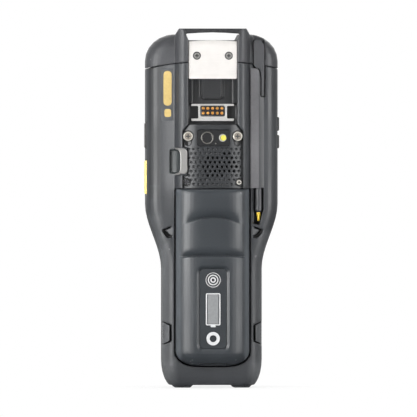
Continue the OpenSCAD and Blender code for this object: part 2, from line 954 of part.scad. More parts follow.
// One row of the sound grille; odd rows sit half a pitch over
module hole_row(row) {
    odd = row % 2;
    for (i = [0 : 11 - odd]) {
        open = i >= sound_first[row] && i < sound_first[row] + sound_count[row];
        rod_y(
            -15.6 + (i + odd / 2) * hole_pitch_x, grille_top - row * hole_pitch_z,
            open ? sound_hole : dimple,
            -cover_face - 1, -cover_face + (open ? 4 : dimple_depth)
        );
    }
}

module camera_cover() {
    inside = -cover_face + cover_thick - tiny;
    color([0.28, 0.28, 0.29])
    difference() {
        union() {
            through(-cover_face, -cover_face + cover_thick) cover_outline(0);
            // ribs that seat on the spine's bed
            mirrored() block([12.6, inside, head_low + 4.2], [13.8, -back_depth, recess_low - 5.5]);
            block([-15, inside, head_low + 1.2], [15, -back_depth, head_low + 2.6]);
        }
        through(-30, -15) rounded(window_left, window_low, window_right, window_high, 1.6);
        for (row = [0 : len(sound_first) - 1]) hole_row(row);
        mirrored() {
            rod_y(cover_screw_x, cover_screw_z, shoulder_head + 0.45, -30, -cover_face + cover_thick - 0.7);
            rod_y(cover_screw_x, cover_screw_z, shoulder_shank + 0.2, -30, -10);
            translate([cover_screw_x, 0, cover_screw_z]) through(-30, -cover_face + cover_thick - 0.7)
                polygon([[-3.6, -0.4], [3.6, -0.4], [1.8, -5.5], [0, -6.5], [-1.8, -5.5]]);
            rod_y(cover_screw_side, cover_screw_low, 2.6, -30, -cover_face + 1.1);
            rod_y(cover_screw_side, cover_screw_low, 1.4, -30, -10);
        }
    }
}

module cross_slots(size) {
    translate([-size, -0.35, -1]) cube([2 * size, 0.7, 1.9]);
    translate([-0.35, -size, -1]) cube([0.7, 2 * size, 1.9]);
}

module shoulder_screws() {
    color([0.85, 0.85, 0.85])
    for (x = [-cover_screw_x, cover_screw_x])
        translate([x, -cover_face - 0.3, cover_screw_z]) rotate([-90, 0, 0]) difference() {
            union() {
                cylinder(r1 = shoulder_head - 0.3, r2 = shoulder_head, h = 0.3);
                translate([0, 0, 0.3]) cylinder(r = shoulder_head, h = 1.1);
                cylinder(r = shoulder_shank, h = 8);
            }
            translate([0, 0, -1]) cylinder(r = shoulder_head - 0.9, h = 1.25);
            cross_slots(2);
        }
}

module cover_screws() {
    color([0.3, 0.3, 0.3])
    for (x = [-cover_screw_side, cover_screw_side])
        translate([x, -cover_face, cover_screw_low]) rotate([-90, 0, 0]) difference() {
            union() {
                cylinder(r = 2.3, h = 1.1);
                cylinder(r = 1.2, h = 7);
            }
            cross_slots(1.5);
        }
}

module camera_window() {
    color([0.05, 0.05, 0.05])
    through(-cover_face + 0.4, -cover_face + 1.6)
        rounded(window_left + 0.15, window_low + 0.15, window_right - 0.15, window_high - 0.15, 1.5);
}

module camera_module() {
    color([0.2, 0.2, 0.2])
    difference() {
        union() {
            block([window_left, -14.9, window_low], [window_right, -12.9, window_high]);
            rod_y(camera_x, camera_z, 4, -cover_face + 1.9, -14.9 + tiny);
            rod_y(flash_x, camera_z, 3, -cover_face + 3, -14.9 + tiny);
        }
        translate([camera_x, -cover_face + 1.8, camera_z]) rotate([-90, 0, 0])
            cylinder(r1 = 2.8, r2 = 1.5, h = 2);
        rod_y(flash_x, camera_z, 2.2, -cover_face, -cover_face + 4.2);
    }
}

module flash_lens() {
    color([0.9, 0.85, 0.5])
    rod_y(flash_x, camera_z, 2.15, -cover_face + 2.4, -cover_face + 4.2);
}

speaker_x = 3.6;
speaker_z = head_low + 14.6;

module speaker() {
    color([0.15, 0.15, 0.15])
    difference() {
        union() {
            rod_y(speaker_x, speaker_z, 8.6, -17, -13.6);
            rod_y(speaker_x, speaker_z, 7, -18.2, -17 + tiny);
        }
        rod_y(speaker_x, speaker_z, 5.6, -19, -17.6);
    }
}

module strap_loop() {
    color([0.75, 0.75, 0.75])
    difference() {
        upright(strap_low, strap_high) strap_outline(0, 0);
        block([-30, -40, strap_low + 1.5], [-21.3, -10, strap_high - 1.3]);
    }
}

module panel_outline(edge) {
    polygon([
        [rail_outer + 0.3, -back_depth], [rail_outer + 0.3, -back_depth - 1.2],
        [min(edge - 1.2, 30.5), -back_depth - 1.2], [edge, -back_depth]
    ]);
}

module stylus_panel() {
    color([0.45, 0.45, 0.46])
    difference() {
        upright(head_low + fit_gap, stylus_cap_low - 0.9) panel_outline(33.7);
        through(-40, 0) stylus_cap_outline(cap_gap);
        block([31.9 - cap_gap, -40, stylus_tail_low], [40, 0, stylus_cap_high]);
    }
}

module battery_case() {
    color([0.29, 0.31, 0.33])
    difference() {
        loft([for (z = skin_rows) battery_ring(z)]);
        // notch in the lower edge
        block([-9.2, -30, battery_low - 1], [9.2, -19.5, battery_low + 1.6]);
        // space for the cells
        upright(cell_low - 0.4, cell_high + 0.4) {
            for (x = [-cell_x, cell_x]) translate([x, cell_y]) circle(cell_radius + 0.2);
            translate([-cell_x, cell_y - 4]) square([2 * cell_x, 8]);
        }
        through(-30, -gauge_floor) rounded(-gauge_half, gauge_low, gauge_half, gauge_high, gauge_corner);
        rod_y(0, gauge_button_z, gauge_button_radius + 0.3, -30, -gauge_floor + 0.9);
    }
}

cell_x = 9.4;
cell_y = -12.9;
cell_low = battery_low + 7.7;
cell_high = battery_top - 5.5;

module battery_cells() {
    color([0.3, 0.5, 0.6])
    for (x = [-cell_x, cell_x]) {
        translate([x, cell_y, cell_low]) cylinder(r = cell_radius, h = cell_high - cell_low - 1.2);
        translate([x, cell_y, cell_high - 1.2 - tiny]) cylinder(r = 3, h = 1.2);
    }
}

module gauge_panel() {
    color([0.25, 0.27, 0.28])
    difference() {
        union() {
            through(-gauge_floor - 0.9, -gauge_floor)
                rounded(
                    -gauge_half + 0.2, gauge_low + 0.2, gauge_half - 0.2, gauge_high - 0.2, gauge_corner - 0.2
                );
            through(-gauge_floor - 1.2, -gauge_floor)
                rounded(-4.8, gauge_display_low - 1, 4.8, gauge_display_high + 1, 0.9);
            through(-gauge_floor - 1.2, -gauge_floor)
                rounded(-1.7, gauge_display_low - 2.2, 1.7, gauge_display_low, 0.5);
            rod_y(0, badge_z, 4.45, -gauge_floor - 1.2, -gauge_floor);
        }
        through(-30, 0) rounded(-3.75, gauge_display_low - 0.15, 3.75, gauge_display_high + 0.15, 0.5);
        rod_y(0, badge_z, 2.1, -30, -gauge_floor - 0.6);
        rod_y(0, gauge_button_z, gauge_button_radius + 0.3, -30, 0);
    }
}

module gauge_display() {
    color([0.5, 0.53, 0.54])
    through(-gauge_floor - 0.8, -gauge_floor)
        rounded(-3.6, gauge_display_low, 3.6, gauge_display_high, 0.4);
}

module gauge_button() {
    face = -gauge_floor - 1.25;
    color([0.3, 0.31, 0.32])
    difference() {
        rod_y(0, gauge_button_z, gauge_button_radius, face, -gauge_floor + 0.4);
        difference() {
            rod_y(0, gauge_button_z, 4.55, face - 1, face + 0.35);
            rod_y(0, gauge_button_z, 3.45, face - 1, face + 1);
        }
        difference() {
            rod_y(0, gauge_button_z, 2.75, face - 1, face + 0.35);
            rod_y(0, gauge_button_z, 1.75, face - 1, face + 1);
        }
        rod_y(0, gauge_button_z, 1.05, face - 1, face + 0.7);
    }
}

module stylus_barrel() {
    cone = 1.2;
    barrel_low = stylus_low + 7;
    color([0.2, 0.2, 0.21])
    union() {
        translate([stylus_x, stylus_y, barrel_low])
            cylinder(r = stylus_radius, h = stylus_cap_high - 2 - barrel_low);
        translate([stylus_x, stylus_y, barrel_low - cone])
            cylinder(r1 = 1.6, r2 = stylus_radius, h = cone + tiny);
        through(-back_depth - 0.9, -9.6) stylus_cap_outline(0);
    }
}

module stylus_tip() {
    color([0.9, 0.8, 0.2])
    translate([stylus_x, stylus_y, stylus_low]) union() {
        translate([0, 0, 0.8]) sphere(0.8);
        translate([0, 0, 0.8]) cylinder(r1 = 0.8, r2 = 1.4, h = 5);
    }
}

module release_body() {
    color([0.33, 0.34, 0.35])
    difference() {
        intersection() {
            through(release_back, release_front) release_outline(0);
            body(0.3);
            block([0, -40, 0], [release_top, 0, 60]);
        }
        for (z = [release_low + 3.6 : 2.4 : release_high - 3])
            block([grip_half - 0.9, -40, z], [60, 0, z + 0.9]);
    }
}

release_top = grip_half - 0.4;

module release_left() {
    mirror([1, 0, 0]) release_body();
}

module release_right() {
    release_body();
}

// A side key: a rounded bar that stands out of the side
module side_key(span) {
    depth = side_key_front - side_key_back;
    intersection() {
        translate([0, (side_key_back + side_key_front) / 2, 0]) through(-depth / 2, depth / 2)
            rounded(side_key_in, span[0], side_key_out, span[1], 1.2);
        translate([0, side_key_back, 0]) upright(span[0], span[1])
            rounded(side_key_in, 0, side_key_out, depth, 1.2);
    }
}

module scan_button() {
    color([0.88, 0.84, 0.6])
    mirror([1, 0, 0]) side_key(key_scan_side);
}

module side_key_left() {
    color([0.2, 0.2, 0.2])
    mirror([1, 0, 0]) side_key(key_side_left);
}

module side_key_upper() {
    color([0.2, 0.2, 0.2])
    side_key(key_side_high);
}

module side_key_lower() {
    color([0.2, 0.2, 0.2])
    side_key(key_side_low);
}

// Display
module display_window() {
    color([0.05, 0.06, 0.07])
    through(head_front - 0.4, head_front - 0.4 + glass_thick) glass_outline(0.1, 4);
}

module lcd_panel() {
    color([0.6, 0.65, 0.7])
    union() {
        through(head_front - 3.1, head_front - 0.4) glass_outline(3.8, 2);
        through(head_front - 6.5, head_front - 3) glass_outline(1.2, 1);
    }
}

// The keypad's keys
key_gap = 0.3;

// Middle of a key and its size; columns count from +X, the left as one looks at the keypad
function small_key(column, row) =
    [-column * key_pitch_x, key_row_low + row * key_pitch_z, key_width, key_height];

function key_data(name) =
    name == "key_point" ? small_key(-1, 0) :
    name == "key_0" ? small_key(0, 0) :
    name == "key_clear" ? small_key(1, 0) :
    name == "key_7" ? small_key(-1, 1) :
    name == "key_8" ? small_key(0, 1) :
    name == "key_9" ? small_key(1, 1) :
    name == "key_4" ? small_key(-1, 2) :
    name == "key_5" ? small_key(0, 2) :
    name == "key_6" ? small_key(1, 2) :
    name == "key_1" ? small_key(-1, 3) :
    name == "key_2" ? small_key(0, 3) :
    name == "key_3" ? small_key(1, 3) :
    name == "key_call" ? small_key(-1, 4) :
    name == "key_enter" ? small_key(0, 4) :
    name == "key_end" ? small_key(1, 4) :
    name == "key_power" ? [key_pitch_x + 0.4, key_row_top, 10, 17] :
    name == "key_scan" ? [0, key_row_top, 16, 17] :
    [-key_pitch_x - 0.4, key_row_top, 10, 17];

KEYS = [
    "key_scan", "key_nav", "key_call", "key_end", "key_power", "key_1", "key_2", "key_3", "key_4",
    "key_5", "key_6", "key_7", "key_8", "key_9", "key_0", "key_point", "key_clear", "key_enter"
];

// A key's outline, grown by an amount
module key_outline(d, grow) {
    rounded(
        d[0] - d[2] / 2 - grow, d[1] - d[3] / 2 - grow, d[0] + d[2] / 2 + grow, d[1] + d[3] / 2 + grow, 2.2
    );
}

module key(name) {
    d = key_data(name);
    color(name == "key_scan" ? [0.88, 0.84, 0.6] : [0.2, 0.2, 0.21])
    union() {
        through(bezel_back - 1.2, key_face) key_outline(d, 0);
        through(bezel_back - 1.5, bezel_back - 0.3) key_outline(d, 0.8);
    }
}

module keypad_bezel() {
    color([0.25, 0.25, 0.26])
    difference() {
        through(bezel_back, bezel_face) pad_outline(0.15, 4);
        for (name = KEYS) through(0, 40) key_outline(key_data(name), key_gap);
    }
}

module keypad_mat() {
    color([0.12, 0.12, 0.12])
    through(board_face, mat_face) pad_outline(2.3, 3);
}

module keypad_board() {
    color([0.1, 0.3, 0.2])
    block([-pad_half - 1.5, board_face - board_thick, pad_low + 0.5],
        [pad_half + 1.5, board_face, pad_high - 0.5]);
}

module main_board() {
    color([0.1, 0.3, 0.2])
    difference() {
        block([-22, -bay_floor + 2, battery_low + 4.7],
            [22, -bay_floor + 2 + board_thick, head_low + 70.2]);
        for (p = shell_screws) rod_y(p[0], p[1], boss_radius + 0.3, -10, 10);
    }
}

module battery_terminals() {
    color([0.8, 0.65, 0.35])
    difference() {
        block([-7, -bay_floor, terminals_low], [7, -bay_floor + 2, terminals_high]);
        for (x = [-4.5 : 3 : 4.5])
            block([x - 0.4, -5, terminals_low - 1], [x + 0.4, -bay_floor + 0.5, terminals_high + 1]);
    }
}

module scan_window() {
    color([0.2, 0.02, 0.02])
    block([-scan_half + 0.1, scan_back + 0.1, scan_low],
        [scan_half - 0.1, scan_front - 0.1, scan_low + scan_thick]);
}

module scan_engine() {
    color([0.15, 0.15, 0.15])
    union() {
        block([-15, scan_back - 2, slot_low - 13.4], [15, scan_front + 2, slot_low - 2.6]);
        block([-scan_half + 1, scan_back + 1, slot_low - 4.4], [scan_half - 1, scan_front - 1, scan_low]);
    }
}

// Charging and data connector in the foot
dock_half = 8;
dock_back = 6;
dock_front = 12;

module dock_connector() {
    color([0.15, 0.15, 0.15])
    difference() {
        union() {
            block([-dock_half, dock_back, foot_height + 0.3], [dock_half, dock_front, 6]);
            block([-dock_half - 2, dock_back - 1, foot_height + wall], [dock_half + 2, dock_front + 1, 6]);
        }
        block([-dock_half + 1, dock_back + 1, 0], [dock_half - 1, dock_front - 1, foot_height + 1.6]);
    }
}

rear_housing();
front_housing();
head_cap();
housing_seal();
housing_screws();
mount_plate();
mount_plate_screws();
connector_frame();
connector_block();
connector_contacts();
camera_cover();
shoulder_screws();
cover_screws();
camera_window();
camera_module();
flash_lens();
speaker();
strap_loop();
stylus_panel();
display_window();
lcd_panel();
keypad_bezel();
keypad_mat();
keypad_board();
main_board();
scan_window();
scan_engine();
dock_connector();
battery_terminals();
battery_case();
battery_cells();
gauge_panel();
gauge_display();
gauge_button();
stylus_barrel();
stylus_tip();
release_left();
release_right();
scan_button();
side_key_left();
side_key_upper();
side_key_lower();
key("key_scan");  // key_scan
key("key_nav");  // key_nav
key("key_call");  // key_call
key("key_end");  // key_end
key("key_power");  // key_power
key("key_1");  // key_1
key("key_2");  // key_2
key("key_3");  // key_3
key("key_4");  // key_4
key("key_5");  // key_5
key("key_6");  // key_6
key("key_7");  // key_7
key("key_8");  // key_8
key("key_9");  // key_9
key("key_0");  // key_0
key("key_point");  // key_point
key("key_clear");  // key_clear
key("key_enter");  // key_enter
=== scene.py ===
import json
import math

import bpy
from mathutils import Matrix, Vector

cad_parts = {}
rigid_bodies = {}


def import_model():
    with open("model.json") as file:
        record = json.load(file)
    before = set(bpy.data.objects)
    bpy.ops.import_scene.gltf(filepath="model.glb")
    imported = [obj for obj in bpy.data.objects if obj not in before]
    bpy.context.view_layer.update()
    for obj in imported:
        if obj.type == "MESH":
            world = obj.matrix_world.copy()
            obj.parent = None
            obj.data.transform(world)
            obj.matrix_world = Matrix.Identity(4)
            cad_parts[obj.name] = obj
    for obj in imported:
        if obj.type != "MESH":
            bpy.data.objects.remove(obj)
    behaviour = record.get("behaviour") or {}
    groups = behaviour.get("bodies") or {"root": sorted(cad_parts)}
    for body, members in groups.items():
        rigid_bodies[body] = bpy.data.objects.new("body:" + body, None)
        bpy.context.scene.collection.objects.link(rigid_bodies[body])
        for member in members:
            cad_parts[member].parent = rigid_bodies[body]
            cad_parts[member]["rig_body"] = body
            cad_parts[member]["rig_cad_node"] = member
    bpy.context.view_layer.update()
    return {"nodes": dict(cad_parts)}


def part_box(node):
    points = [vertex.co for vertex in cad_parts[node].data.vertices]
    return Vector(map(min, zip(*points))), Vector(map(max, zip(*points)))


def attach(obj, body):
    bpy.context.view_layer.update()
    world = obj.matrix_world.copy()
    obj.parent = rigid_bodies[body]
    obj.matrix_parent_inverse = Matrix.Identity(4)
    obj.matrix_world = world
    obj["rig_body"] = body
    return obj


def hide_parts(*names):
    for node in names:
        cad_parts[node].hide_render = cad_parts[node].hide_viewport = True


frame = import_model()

scene = bpy.context.scene
mm = 0.001
print("frame loaded:", len(frame["nodes"]), "nodes")


# shader groups

def srgb(red, green, blue):
    def one(value):
        value = value / 255
        return value / 12.92 if value <= 0.04045 else ((value + 0.055) / 1.055) ** 2.4
    return (one(red), one(green), one(blue), 1)


def inMetres(corner):
    return [value * mm for value in corner]


def newGroup(name, inputs, outputs):
    group = bpy.data.node_groups.new(name, "ShaderNodeTree")
    for label, kind, value in inputs:
        socket = group.interface.new_socket(name=label, in_out="INPUT", socket_type=kind)
        socket.default_value = value
    for label, kind in outputs:
        group.interface.new_socket(name=label, in_out="OUTPUT", socket_type=kind)
    return group, group.nodes.new("NodeGroupInput").outputs, group.nodes.new("NodeGroupOutput").inputs


def node(tree, kind, values=None, **settings):
    made = tree.nodes.new(kind)
    for key, value in settings.items():
        setattr(made, key, value)
    for key, value in (values or {}).items():
        made.inputs[key].default_value = value
    return made


def wire(tree, *pairs):
    for start, end in pairs:
        tree.links.new(start, end)


def calc(tree, operation, first, second):
    made = node(tree, "ShaderNodeMath", operation=operation)
    for slot, value in enumerate((first, second)):
        if isinstance(value, (int, float)):
            made.inputs[slot].default_value = value
        else:
            tree.links.new(value, made.inputs[slot])
    return made.outputs[0]


def plus(tree, first, second):
    return calc(tree, "ADD", first, second)


def minus(tree, first, second):
    return calc(tree, "SUBTRACT", first, second)


def times(tree, first, second):
    return calc(tree, "MULTIPLY", first, second)


def larger(tree, first, second):
    return calc(tree, "MAXIMUM", first, second)


def spread(tree, value, fromLow, fromHigh, toLow=0.0, toHigh=1.0):
    limits = {"From Min": fromLow, "From Max": fromHigh, "To Min": toLow, "To Max": toHigh}
    made = node(tree, "ShaderNodeMapRange", limits)
    tree.links.new(value, made.inputs["Value"])
    return made.outputs["Result"]


# a colour mix takes its two colours on inputs 6 and 7, and gives the mixed colour on output 2
def colourMix(tree, first=None, second=None):
    mix = node(tree, "ShaderNodeMix", data_type="RGBA")
    for slot, colour in ((6, first), (7, second)):
        if colour:
            mix.inputs[slot].default_value = colour
    return mix


# spark-eroded texture of moulded plastic: fine grain, soft patches, pale worn edges, and painted shade that
# darkens the seams and hollows
mould = {"patchScale": 38, "speckScale": 900, "speckDepth": 0.35, "seamOpen": 0.75, "seamShut": 0.1,
         "edgeStart": 0.53, "edgeFull": 0.62, "wornTone": (0.5, 0.5, 0.5, 1), "patchSheen": 0.06,
         "wornSheen": 0.3, "grainHeight": 0.6}
mouldGrain, taken, given = newGroup(
    "mouldGrain",
    [("Colour", "NodeSocketColor", (0.1, 0.1, 0.1, 1)), ("Grain size", "NodeSocketFloat", 2600.0),
     ("Mottle", "NodeSocketFloat", 0.12), ("Roughness", "NodeSocketFloat", 0.55),
     ("Wear", "NodeSocketFloat", 0.25), ("Seam shade", "NodeSocketFloat", 0.6),
     ("Reach", "NodeSocketFloat", 0.0016)],
    [("Colour", "NodeSocketColor"), ("Roughness", "NodeSocketFloat"), ("Height", "NodeSocketFloat")])
place = node(mouldGrain, "ShaderNodeTexCoord").outputs["Object"]
grain = node(mouldGrain, "ShaderNodeTexNoise", {"Detail": 4, "Roughness": 0.7})
cells = node(mouldGrain, "ShaderNodeTexVoronoi")
patches = node(mouldGrain, "ShaderNodeTexNoise", {"Scale": mould["patchScale"], "Detail": 5})
specks = node(mouldGrain, "ShaderNodeTexNoise", {"Scale": mould["speckScale"], "Detail": 2})
for texture in (grain, cells, patches, specks):
    wire(mouldGrain, (place, texture.inputs["Vector"]))
for texture in (grain, cells):
    wire(mouldGrain, (taken["Grain size"], texture.inputs["Scale"]))
patchy = spread(mouldGrain, patches.outputs["Fac"], 0.3, 0.7, -1, 1)
fine = times(mouldGrain, minus(mouldGrain, specks.outputs["Fac"], 0.5), mould["speckDepth"])
lightness = plus(mouldGrain, plus(mouldGrain, times(mouldGrain, patchy, taken["Mottle"]), fine), 1)
# painted shade: the colour is darkened where neighbouring surfaces close in on it
closeness = node(mouldGrain, "ShaderNodeAmbientOcclusion", samples=6)
wire(mouldGrain, (taken["Reach"], closeness.inputs["Distance"]))
shut = spread(mouldGrain, closeness.outputs["AO"], mould["seamOpen"], mould["seamShut"])
unshaded = minus(mouldGrain, 1, times(mouldGrain, shut, taken["Seam shade"]))
toned = node(mouldGrain, "ShaderNodeHueSaturation")
edges = node(mouldGrain, "ShaderNodeNewGeometry").outputs["Pointiness"]
pointed = spread(mouldGrain, edges, mould["edgeStart"], mould["edgeFull"])
worn = times(mouldGrain, times(mouldGrain, pointed, patches.outputs["Fac"]), taken["Wear"])
paler = colourMix(mouldGrain, second=mould["wornTone"])
wire(mouldGrain,
     (taken["Colour"], toned.inputs["Color"]), (times(mouldGrain, lightness, unshaded), toned.inputs["Value"]),
     (worn, paler.inputs["Factor"]), (toned.outputs["Color"], paler.inputs[6]),
     (paler.outputs[2], given["Colour"]))
rough = plus(mouldGrain, taken["Roughness"], times(mouldGrain, patchy, mould["patchSheen"]))
smooth = times(mouldGrain, worn, mould["wornSheen"])
bumpy = times(mouldGrain, grain.outputs["Fac"], mould["grainHeight"])
pitted = times(mouldGrain, cells.outputs["Distance"], mould["grainHeight"])
wire(mouldGrain, (minus(mouldGrain, rough, smooth), given["Roughness"]),
     (plus(mouldGrain, bumpy, pitted), given["Height"]))

# drawn or ground metal: fine lines along one axis, a cloudy sheen and painted shade in the recesses
drawn = {"cloudScale": 160, "reach": 0.9, "seamOpen": 0.8, "seamShut": 0.25, "lineSheen": 0.2}
metalLines, taken, given = newGroup(
    "metalLines",
    [("Colour", "NodeSocketColor", (0.6, 0.6, 0.6, 1)), ("Stretch", "NodeSocketVector", (60, 900, 9000)),
     ("Roughness", "NodeSocketFloat", 0.3), ("Variation", "NodeSocketFloat", 0.12),
     ("Seam shade", "NodeSocketFloat", 0.8)],
    [("Colour", "NodeSocketColor"), ("Roughness", "NodeSocketFloat"), ("Height", "NodeSocketFloat")])
place = node(metalLines, "ShaderNodeTexCoord").outputs["Object"]
stretched = node(metalLines, "ShaderNodeVectorMath", operation="MULTIPLY")
lines = node(metalLines, "ShaderNodeTexNoise", {"Scale": 1, "Detail": 6})
cloud = node(metalLines, "ShaderNodeTexNoise", {"Scale": drawn["cloudScale"], "Detail": 3})
lined = minus(metalLines, lines.outputs["Fac"], 0.5)
uneven = plus(metalLines, lined, minus(metalLines, cloud.outputs["Fac"], 0.5))
shade = plus(metalLines, 1.0, times(metalLines, taken["Variation"], uneven))
# painted shade: the colour is darkened where neighbouring surfaces close in on it
closeness = node(metalLines, "ShaderNodeAmbientOcclusion", {"Distance": drawn["reach"] * mm}, samples=6)
shut = spread(metalLines, closeness.outputs["AO"], drawn["seamOpen"], drawn["seamShut"])
unshaded = minus(metalLines, 1, times(metalLines, shut, taken["Seam shade"]))
toned = node(metalLines, "ShaderNodeHueSaturation")
rough = plus(metalLines, taken["Roughness"], times(metalLines, lined, drawn["lineSheen"]))
wire(metalLines,
     (place, stretched.inputs[0]), (taken["Stretch"], stretched.inputs[1]),
     (stretched.outputs["Vector"], lines.inputs["Vector"]), (place, cloud.inputs["Vector"]),
     (taken["Colour"], toned.inputs["Color"]), (times(metalLines, shade, unshaded), toned.inputs["Value"]),
     (toned.outputs["Color"], given["Colour"]), (rough, given["Roughness"]),
     (lines.outputs["Fac"], given["Height"]))

# a soft-edged box in space, for parts of a moulding that have another tone, or that are painted lighter or
# darker as light and shade
zoneMask, taken, given = newGroup(
    "zoneMask",
    [("Low", "NodeSocketVector", (0, 0, 0)), ("High", "NodeSocketVector", (0, 0, 0)),
     ("Blur", "NodeSocketFloat", 0.0005)],
    [("Inside", "NodeSocketFloat")])
place = node(zoneMask, "ShaderNodeTexCoord").outputs["Object"]
below = node(zoneMask, "ShaderNodeVectorMath", operation="SUBTRACT")
above = node(zoneMask, "ShaderNodeVectorMath", operation="SUBTRACT")
farther = node(zoneMask, "ShaderNodeVectorMath", operation="MAXIMUM")
axes = node(zoneMask, "ShaderNodeSeparateXYZ")
outside = larger(zoneMask, axes.outputs["X"], larger(zoneMask, axes.outputs["Y"], axes.outputs["Z"]))
fade = node(zoneMask, "ShaderNodeMapRange", {"From Min": 0.0, "To Min": 1.0, "To Max": 0.0},
            interpolation_type="SMOOTHSTEP")
wire(zoneMask,
     (taken["Low"], below.inputs[0]), (place, below.inputs[1]),
     (place, above.inputs[0]), (taken["High"], above.inputs[1]),
     (below.outputs["Vector"], farther.inputs[0]), (above.outputs["Vector"], farther.inputs[1]),
     (farther.outputs["Vector"], axes.inputs["Vector"]), (outside, fade.inputs["Value"]),
     (taken["Blur"], fade.inputs["From Max"]), (fade.outputs["Result"], given["Inside"]))

# a slight sweep of a moulded face: tilts the normal sideways, from none at From to Strength at To
faceSweep, taken, given = newGroup(
    "faceSweep",
    [("Low", "NodeSocketVector", (0, 0, 0)), ("High", "NodeSocketVector", (0, 0, 0)),
     ("Blur", "NodeSocketFloat", 0.002), ("From", "NodeSocketFloat", 0.0), ("To", "NodeSocketFloat", 0.01),
     ("Strength", "NodeSocketFloat", 0.0), ("Normal", "NodeSocketVector", (0, 0, 1))],
    [("Normal", "NodeSocketVector")])
zone = node(faceSweep, "ShaderNodeGroup", node_tree=zoneMask)
place = node(faceSweep, "ShaderNodeTexCoord").outputs["Object"]
axes = node(faceSweep, "ShaderNodeSeparateXYZ")
ramp = node(faceSweep, "ShaderNodeMapRange", interpolation_type="SMOOTHSTEP")
tilt = node(faceSweep, "ShaderNodeCombineXYZ")
summed = node(faceSweep, "ShaderNodeVectorMath", operation="ADD")
unit = node(faceSweep, "ShaderNodeVectorMath", operation="NORMALIZE")
share = times(faceSweep, ramp.outputs["Result"], zone.outputs["Inside"])
for label in ("Low", "High", "Blur"):
    wire(faceSweep, (taken[label], zone.inputs[label]))
wire(faceSweep,
     (place, axes.inputs["Vector"]), (axes.outputs["X"], ramp.inputs["Value"]),
     (taken["From"], ramp.inputs["From Min"]), (taken["To"], ramp.inputs["From Max"]),
     (times(faceSweep, share, taken["Strength"]), tilt.inputs["X"]),
     (taken["Normal"], summed.inputs[0]), (tilt.outputs["Vector"], summed.inputs[1]),
     (summed.outputs["Vector"], unit.inputs[0]), (unit.outputs["Vector"], given["Normal"]))
print("shader groups built")


# materials: relief in mm, gloss of a coat, and the smeared look of a window
look = {"plasticRelief": 0.03, "metalRelief": 0.01, "coatRoughness": 0.2, "smearScale": 55,
        "smearPaler": 1.25, "smearRougher": 0.1, "glassIndex": 1.5}


def newMaterial(name):
    made = bpy.data.materials.new(name)
    made.use_nodes = True
    return made, made.node_tree, made.node_tree.nodes["Principled BSDF"]


# wires a group's colour, roughness and relief to the shader; sweeps tilt the normal underneath
def surface(tree, shader, group, bump, relief, sweeps=()):
    bumps = node(tree, "ShaderNodeBump", {"Strength": bump, "Distance": relief * mm})
    if sweeps:
        normal = node(tree, "ShaderNodeNewGeometry").outputs["Normal"]
        for low, high, start, end, strength in sweeps:
            values = {"Low": inMetres(low), "High": inMetres(high), "From": start * mm, "To": end * mm,
                      "Strength": strength}
            sweep = node(tree, "ShaderNodeGroup", values, node_tree=faceSweep)
            wire(tree, (normal, sweep.inputs["Normal"]))
            normal = sweep.outputs["Normal"]
        wire(tree, (normal, bumps.inputs["Normal"]))
    wire(tree, (group.outputs["Colour"], shader.inputs["Base Color"]),
         (group.outputs["Roughness"], shader.inputs["Roughness"]),
         (group.outputs["Height"], bumps.inputs["Height"]),
         (bumps.outputs["Normal"], shader.inputs["Normal"]))


# lays the zones over a colour, one after the other
def zoned(tree, colour, zones):
    last = None
    for low, high, blur, zoneColour in zones:
        values = {"Low": inMetres(low), "High": inMetres(high), "Blur": blur * mm}
        zone = node(tree, "ShaderNodeGroup", values, node_tree=zoneMask)
        laid = colourMix(tree, colour, zoneColour)
        wire(tree, (zone.outputs["Inside"], laid.inputs["Factor"]))
        if last:
            wire(tree, (last, laid.inputs[6]))
        last = laid.outputs[2]
    return last


# reach: how far from a neighbour the painted shade of a seam begins; zones: low corner, high corner, blur
# and colour; sweeps: low corner, high corner, start and end of the tilt in X, strength; all in millimetres
def plastic(name, colour, grainSize=2600, mottle=0.1, roughness=0.55, wear=0.25, seamShade=0.6, bump=0.25,
            coat=0.0, reach=1.6, zones=(), sweeps=()):
    made, tree, shader = newMaterial(name)
    values = {"Colour": colour, "Grain size": grainSize, "Mottle": mottle, "Roughness": roughness,
              "Wear": wear, "Seam shade": seamShade, "Reach": reach * mm}
    group = node(tree, "ShaderNodeGroup", values, node_tree=mouldGrain)
    if zones:
        wire(tree, (zoned(tree, colour, zones), group.inputs["Colour"]))
    shader.inputs["Coat Weight"].default_value = coat
    shader.inputs["Coat Roughness"].default_value = look["coatRoughness"]
    surface(tree, shader, group, bump, look["plasticRelief"], sweeps)
    return made


def metal(name, colour, stretch=(60, 900, 9000), roughness=0.3, variation=0.12, seamShade=0.8, bump=0.12,
          metallic=1.0):
    made, tree, shader = newMaterial(name)
    values = {"Colour": colour + (1,), "Stretch": stretch, "Roughness": roughness, "Variation": variation,
              "Seam shade": seamShade}
    group = node(tree, "ShaderNodeGroup", values, node_tree=metalLines)
    shader.inputs["Metallic"].default_value = metallic
    surface(tree, shader, group, bump, look["metalRelief"])
    return made


def glass(name, colour, roughness=0.06, transmission=0.0):
    made, tree, shader = newMaterial(name)
    place = node(tree, "ShaderNodeTexCoord").outputs["Object"]
    smear = node(tree, "ShaderNodeTexNoise", {"Scale": look["smearScale"], "Detail": 4})
    rough = spread(tree, smear.outputs["Fac"], 0, 1, roughness, roughness + look["smearRougher"])
    tone = node(tree, "ShaderNodeValToRGB")
    tone.color_ramp.elements[0].color = colour
    tone.color_ramp.elements[1].color = [min(1, c * look["smearPaler"]) for c in colour[:3]] + [1]
    shader.inputs["Transmission Weight"].default_value = transmission
    shader.inputs["IOR"].default_value = look["glassIndex"]
    wire(tree, (place, smear.inputs["Vector"]), (smear.outputs["Fac"], tone.inputs["Fac"]),
         (tone.outputs["Color"], shader.inputs["Base Color"]), (rough, shader.inputs["Roughness"]))
    return made


# the same zone on both sides of the object
def bothSides(low, high, blur, colour):
    mirroredLow = (-high[0], low[1], low[2])
    mirroredHigh = (-low[0], high[1], high[2])
    return (low, high, blur, colour), (mirroredLow, mirroredHigh, blur, colour)
